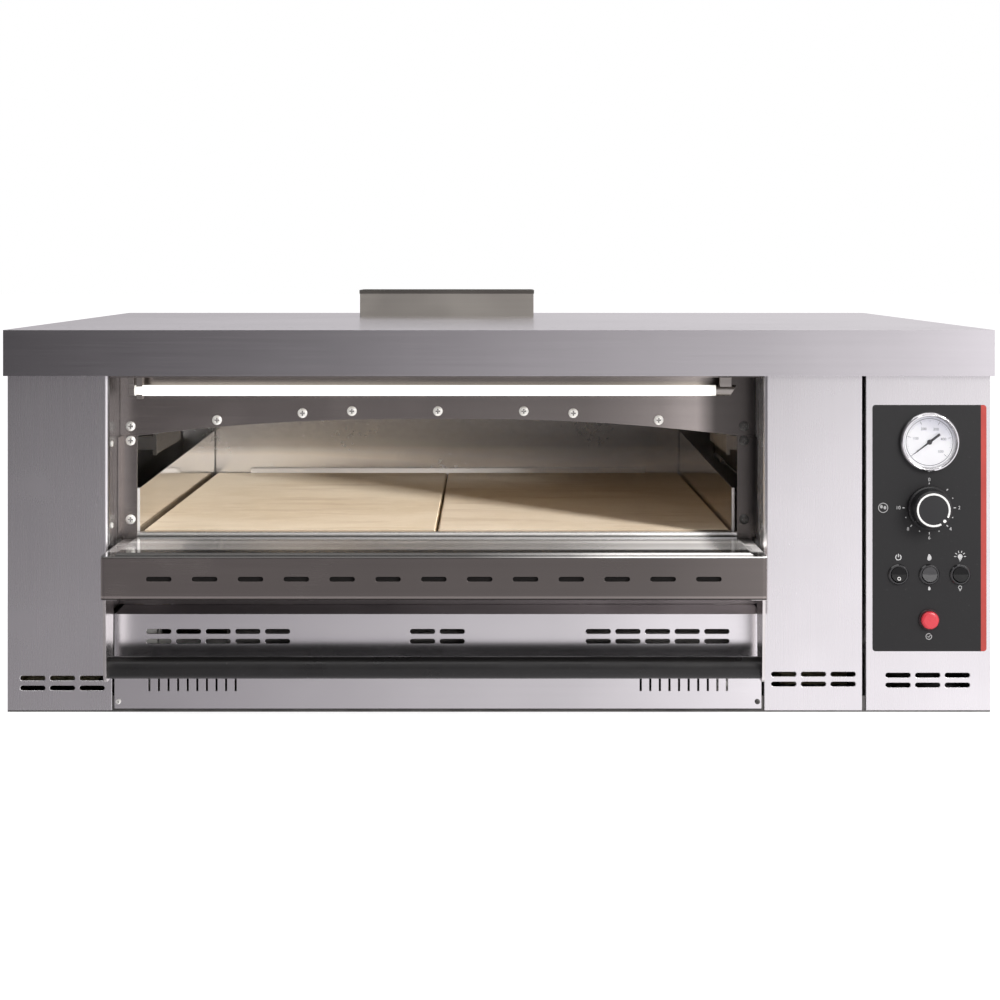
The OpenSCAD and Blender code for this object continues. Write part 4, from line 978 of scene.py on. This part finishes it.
def studio_world():
    """White to the camera. To all else a soft studio, dim at the left front and bright at the right."""
    world = bpy.data.worlds.new("studio")
    bpy.context.scene.world = world
    world.use_nodes = True
    t = world.node_tree
    t.nodes.clear()

    def add(kind, **props):
        node = t.nodes.new(kind)
        for key, value in props.items():
            setattr(node, key, value)
        return node

    def span(value, lo, hi, out_lo=0, out_hi=1, kind="SMOOTHSTEP"):
        node = add("ShaderNodeMapRange")
        node.interpolation_type = kind
        t.links.new(value, node.inputs["Value"])
        for key, v in (("From Min", lo), ("From Max", hi), ("To Min", out_lo), ("To Max", out_hi)):
            node.inputs[key].default_value = v
        return node.outputs["Result"]

    def lerp(fac, a, b):
        node = add("ShaderNodeMix", data_type="RGBA")
        t.links.new(fac, node.inputs[0])
        for socket, value in ((node.inputs[6], a), (node.inputs[7], b)):
            if isinstance(value, tuple):
                socket.default_value = (*value, 1)
            else:
                t.links.new(value, socket)
        return node.outputs[2]

    coord = add("ShaderNodeTexCoord")
    split = add("ShaderNodeSeparateXYZ")
    t.links.new(coord.outputs["Generated"], split.inputs[0])
    x, y, z = split.outputs
    # left to right across the front: one row of levels for the horizon, one for lower down
    reach = 0.6
    rows = []
    for stops in (
        [(-0.60, 0.12), (-0.30, 0.05), (-0.20, 0.045), (-0.15, 0.08), (-0.083, 0.15), (-0.017, 0.23),
         (0.05, 0.36), (0.117, 0.48), (0.184, 0.80), (0.23, 1.08), (0.34, 1.10), (0.60, 0.95)],
        [(-0.60, 0.40), (-0.30, 0.27), (-0.19, 0.27), (-0.156, 0.30), (-0.062, 0.44), (0.028, 0.70),
         (0.08, 1.16), (0.11, 1.25), (0.14, 1.10), (0.20, 1.03), (0.34, 1.08), (0.60, 0.95)],
    ):
        ramp = add("ShaderNodeValToRGB")
        t.links.new(span(x, -reach, reach, kind="LINEAR"), ramp.inputs[0])
        for i, (u, level) in enumerate(stops):
            e = ramp.color_ramp.elements[i] if i < 2 else ramp.color_ramp.elements.new(1.0)
            e.position = (u + reach) / (2 * reach)
            e.color = (level, level * (0.945 if u < 0 else 0.965), level, 1)
        rows.append(ramp.outputs[0])
    front = lerp(span(z, -0.17, -0.03, 1, 0), rows[0], rows[1])
    above = lerp(span(x, -0.4, 0.4, 0, 1), (0.20, 0.19, 0.20), (0.86, 0.83, 0.85))
    front = lerp(span(z, 0.02, 0.30, 0, 1), front, above)
    back = lerp(span(x, -0.35, 0.35, 0, 1), (0.46, 0.44, 0.46), (0.78, 0.755, 0.78))
    around = lerp(span(y, -0.15, 0.25, 0, 1), front, back)
    rays = add("ShaderNodeLightPath")
    seen = lerp(rays.outputs["Is Camera Ray"], around, (1.0, 1.0, 1.0))
    shade = add("ShaderNodeBackground")
    t.links.new(seen, shade.inputs[0])
    out = add("ShaderNodeOutputWorld")
    t.links.new(shade.outputs[0], out.inputs[0])


def white_floor():
    """A wide floor just under the base, bright enough to fade into the background."""
    mesh = bpy.data.meshes.new("floor")
    grid = bmesh.new()
    bmesh.ops.create_grid(grid, x_segments=8, y_segments=8, size=30)
    grid.to_mesh(mesh)
    grid.free()
    paint = bpy.data.materials.new("floor_white")
    paint.use_nodes = True
    tree = paint.node_tree
    tree.nodes.clear()
    soft = tree.nodes.new("ShaderNodeBsdfDiffuse")
    soft.inputs["Color"].default_value = (0.62, 0.62, 0.62, 1)
    glow = tree.nodes.new("ShaderNodeEmission")
    glow.inputs["Strength"].default_value = 0.74
    both = tree.nodes.new("ShaderNodeAddShader")
    sink = tree.nodes.new("ShaderNodeOutputMaterial")
    tree.links.new(soft.outputs[0], both.inputs[0])
    tree.links.new(glow.outputs[0], both.inputs[1])
    tree.links.new(both.outputs[0], sink.inputs[0])
    mesh.materials.append(paint)
    floor = placed("floor", mesh)
    floor.location.z = cad_low.z - 0.4 * MM
    floor.visible_glossy = False


def limit(light, names, state="INCLUDE"):
    """Keeps a light to the named pieces, or with EXCLUDE away from them."""
    group = bpy.data.collections.new(light.name + "_receivers")
    for name in names:
        group.objects.link(NODES[name])
    light.light_linking.receiver_collection = group
    for entry in group.collection_objects:
        entry.light_linking.link_state = state


def studio_lights():
    """A key light from the right front, a soft one above, and two low beams into the chamber."""
    mid_x = (cad_low.x + cad_high.x) / 2
    warm = (1.0, 0.985, 0.97)
    key = area_light("key", (2.1, -3.0, 1.9), (mid_x, -0.3, 0.2), 1.6, 75, warm)
    # the stones have a beam of their own, and the top would glare in views from behind
    limit(key, ["left_stone", "right_stone", "top_cover"], "EXCLUDE")
    area_light("top_soft", (-0.4, -0.9, 2.6), (mid_x, -0.1, 0.2), 2.4, 26)

    mouth = (0.02, -0.32, 0.235)
    stone_beam = area_light("stone_beam", (4.42, -5.52, 0.84), mouth, 0.85, 3420, warm, 0.20)
    limit(stone_beam, ["left_stone", "right_stone", "threshold", "door_inner_skin"])
    wall_beam = area_light("wall_beam", (1.47, -3.30, 0.53), mouth, 0.62, 44, (1.0, 0.99, 0.98), 0.10)
    limit(wall_beam, ["stone_rack", "chamber_shell", "side_rails", "left_flame_guard", "right_flame_guard"])


studio_world()
white_floor()
studio_lights()


# ------------------------------------------------------------------ camera

LENS = 79.956
FROM_HOOD = 2.239
LEFT_OF_HOOD_MIDDLE = 0.011
CAMERA_HEIGHT = 0.453
PHOTO_SHIFT = {"shift_x": 0.012, "shift_y": -0.236}
SHIFT_FADE = 50 * MM


def photo_camera():
    """A level camera at the photo's place, in front of the hood."""
    data = bpy.data.cameras.new("camera")
    data.sensor_width = 36
    data.lens = LENS
    data.clip_start = 0.05
    data.clip_end = 200
    made = placed("camera", data)
    hood_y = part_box("top_cover")[0].y
    made.location = (middle("top_cover").x - LEFT_OF_HOOD_MIDDLE, hood_y - FROM_HOOD, CAMERA_HEIGHT)
    made.rotation_mode = "XYZ"
    made.rotation_euler = (math.radians(90), 0, 0)
    bpy.context.scene.camera = made
    return made


def fading_shift(camera):
    """The photo's shifted lens. It fades out as the camera leaves its place, so other views are centred."""
    photo_place = placed("photo_place", None)
    photo_place.location = camera.location
    for path, shift in PHOTO_SHIFT.items():
        curve = camera.data.driver_add(path)
        curve.driver.type = "AVERAGE"
        away = curve.driver.variables.new()
        away.type = "LOC_DIFF"
        away.targets[0].id = camera
        away.targets[1].id = photo_place
        for old in list(curve.modifiers):
            curve.modifiers.remove(old)
        for distance, value in ((0.0, shift), (SHIFT_FADE, 0.0)):
            curve.keyframe_points.insert(distance, value).interpolation = "LINEAR"


fading_shift(photo_camera())

bpy.context.scene.view_settings.view_transform = "Standard"
bpy.context.scene.view_settings.look = "None"
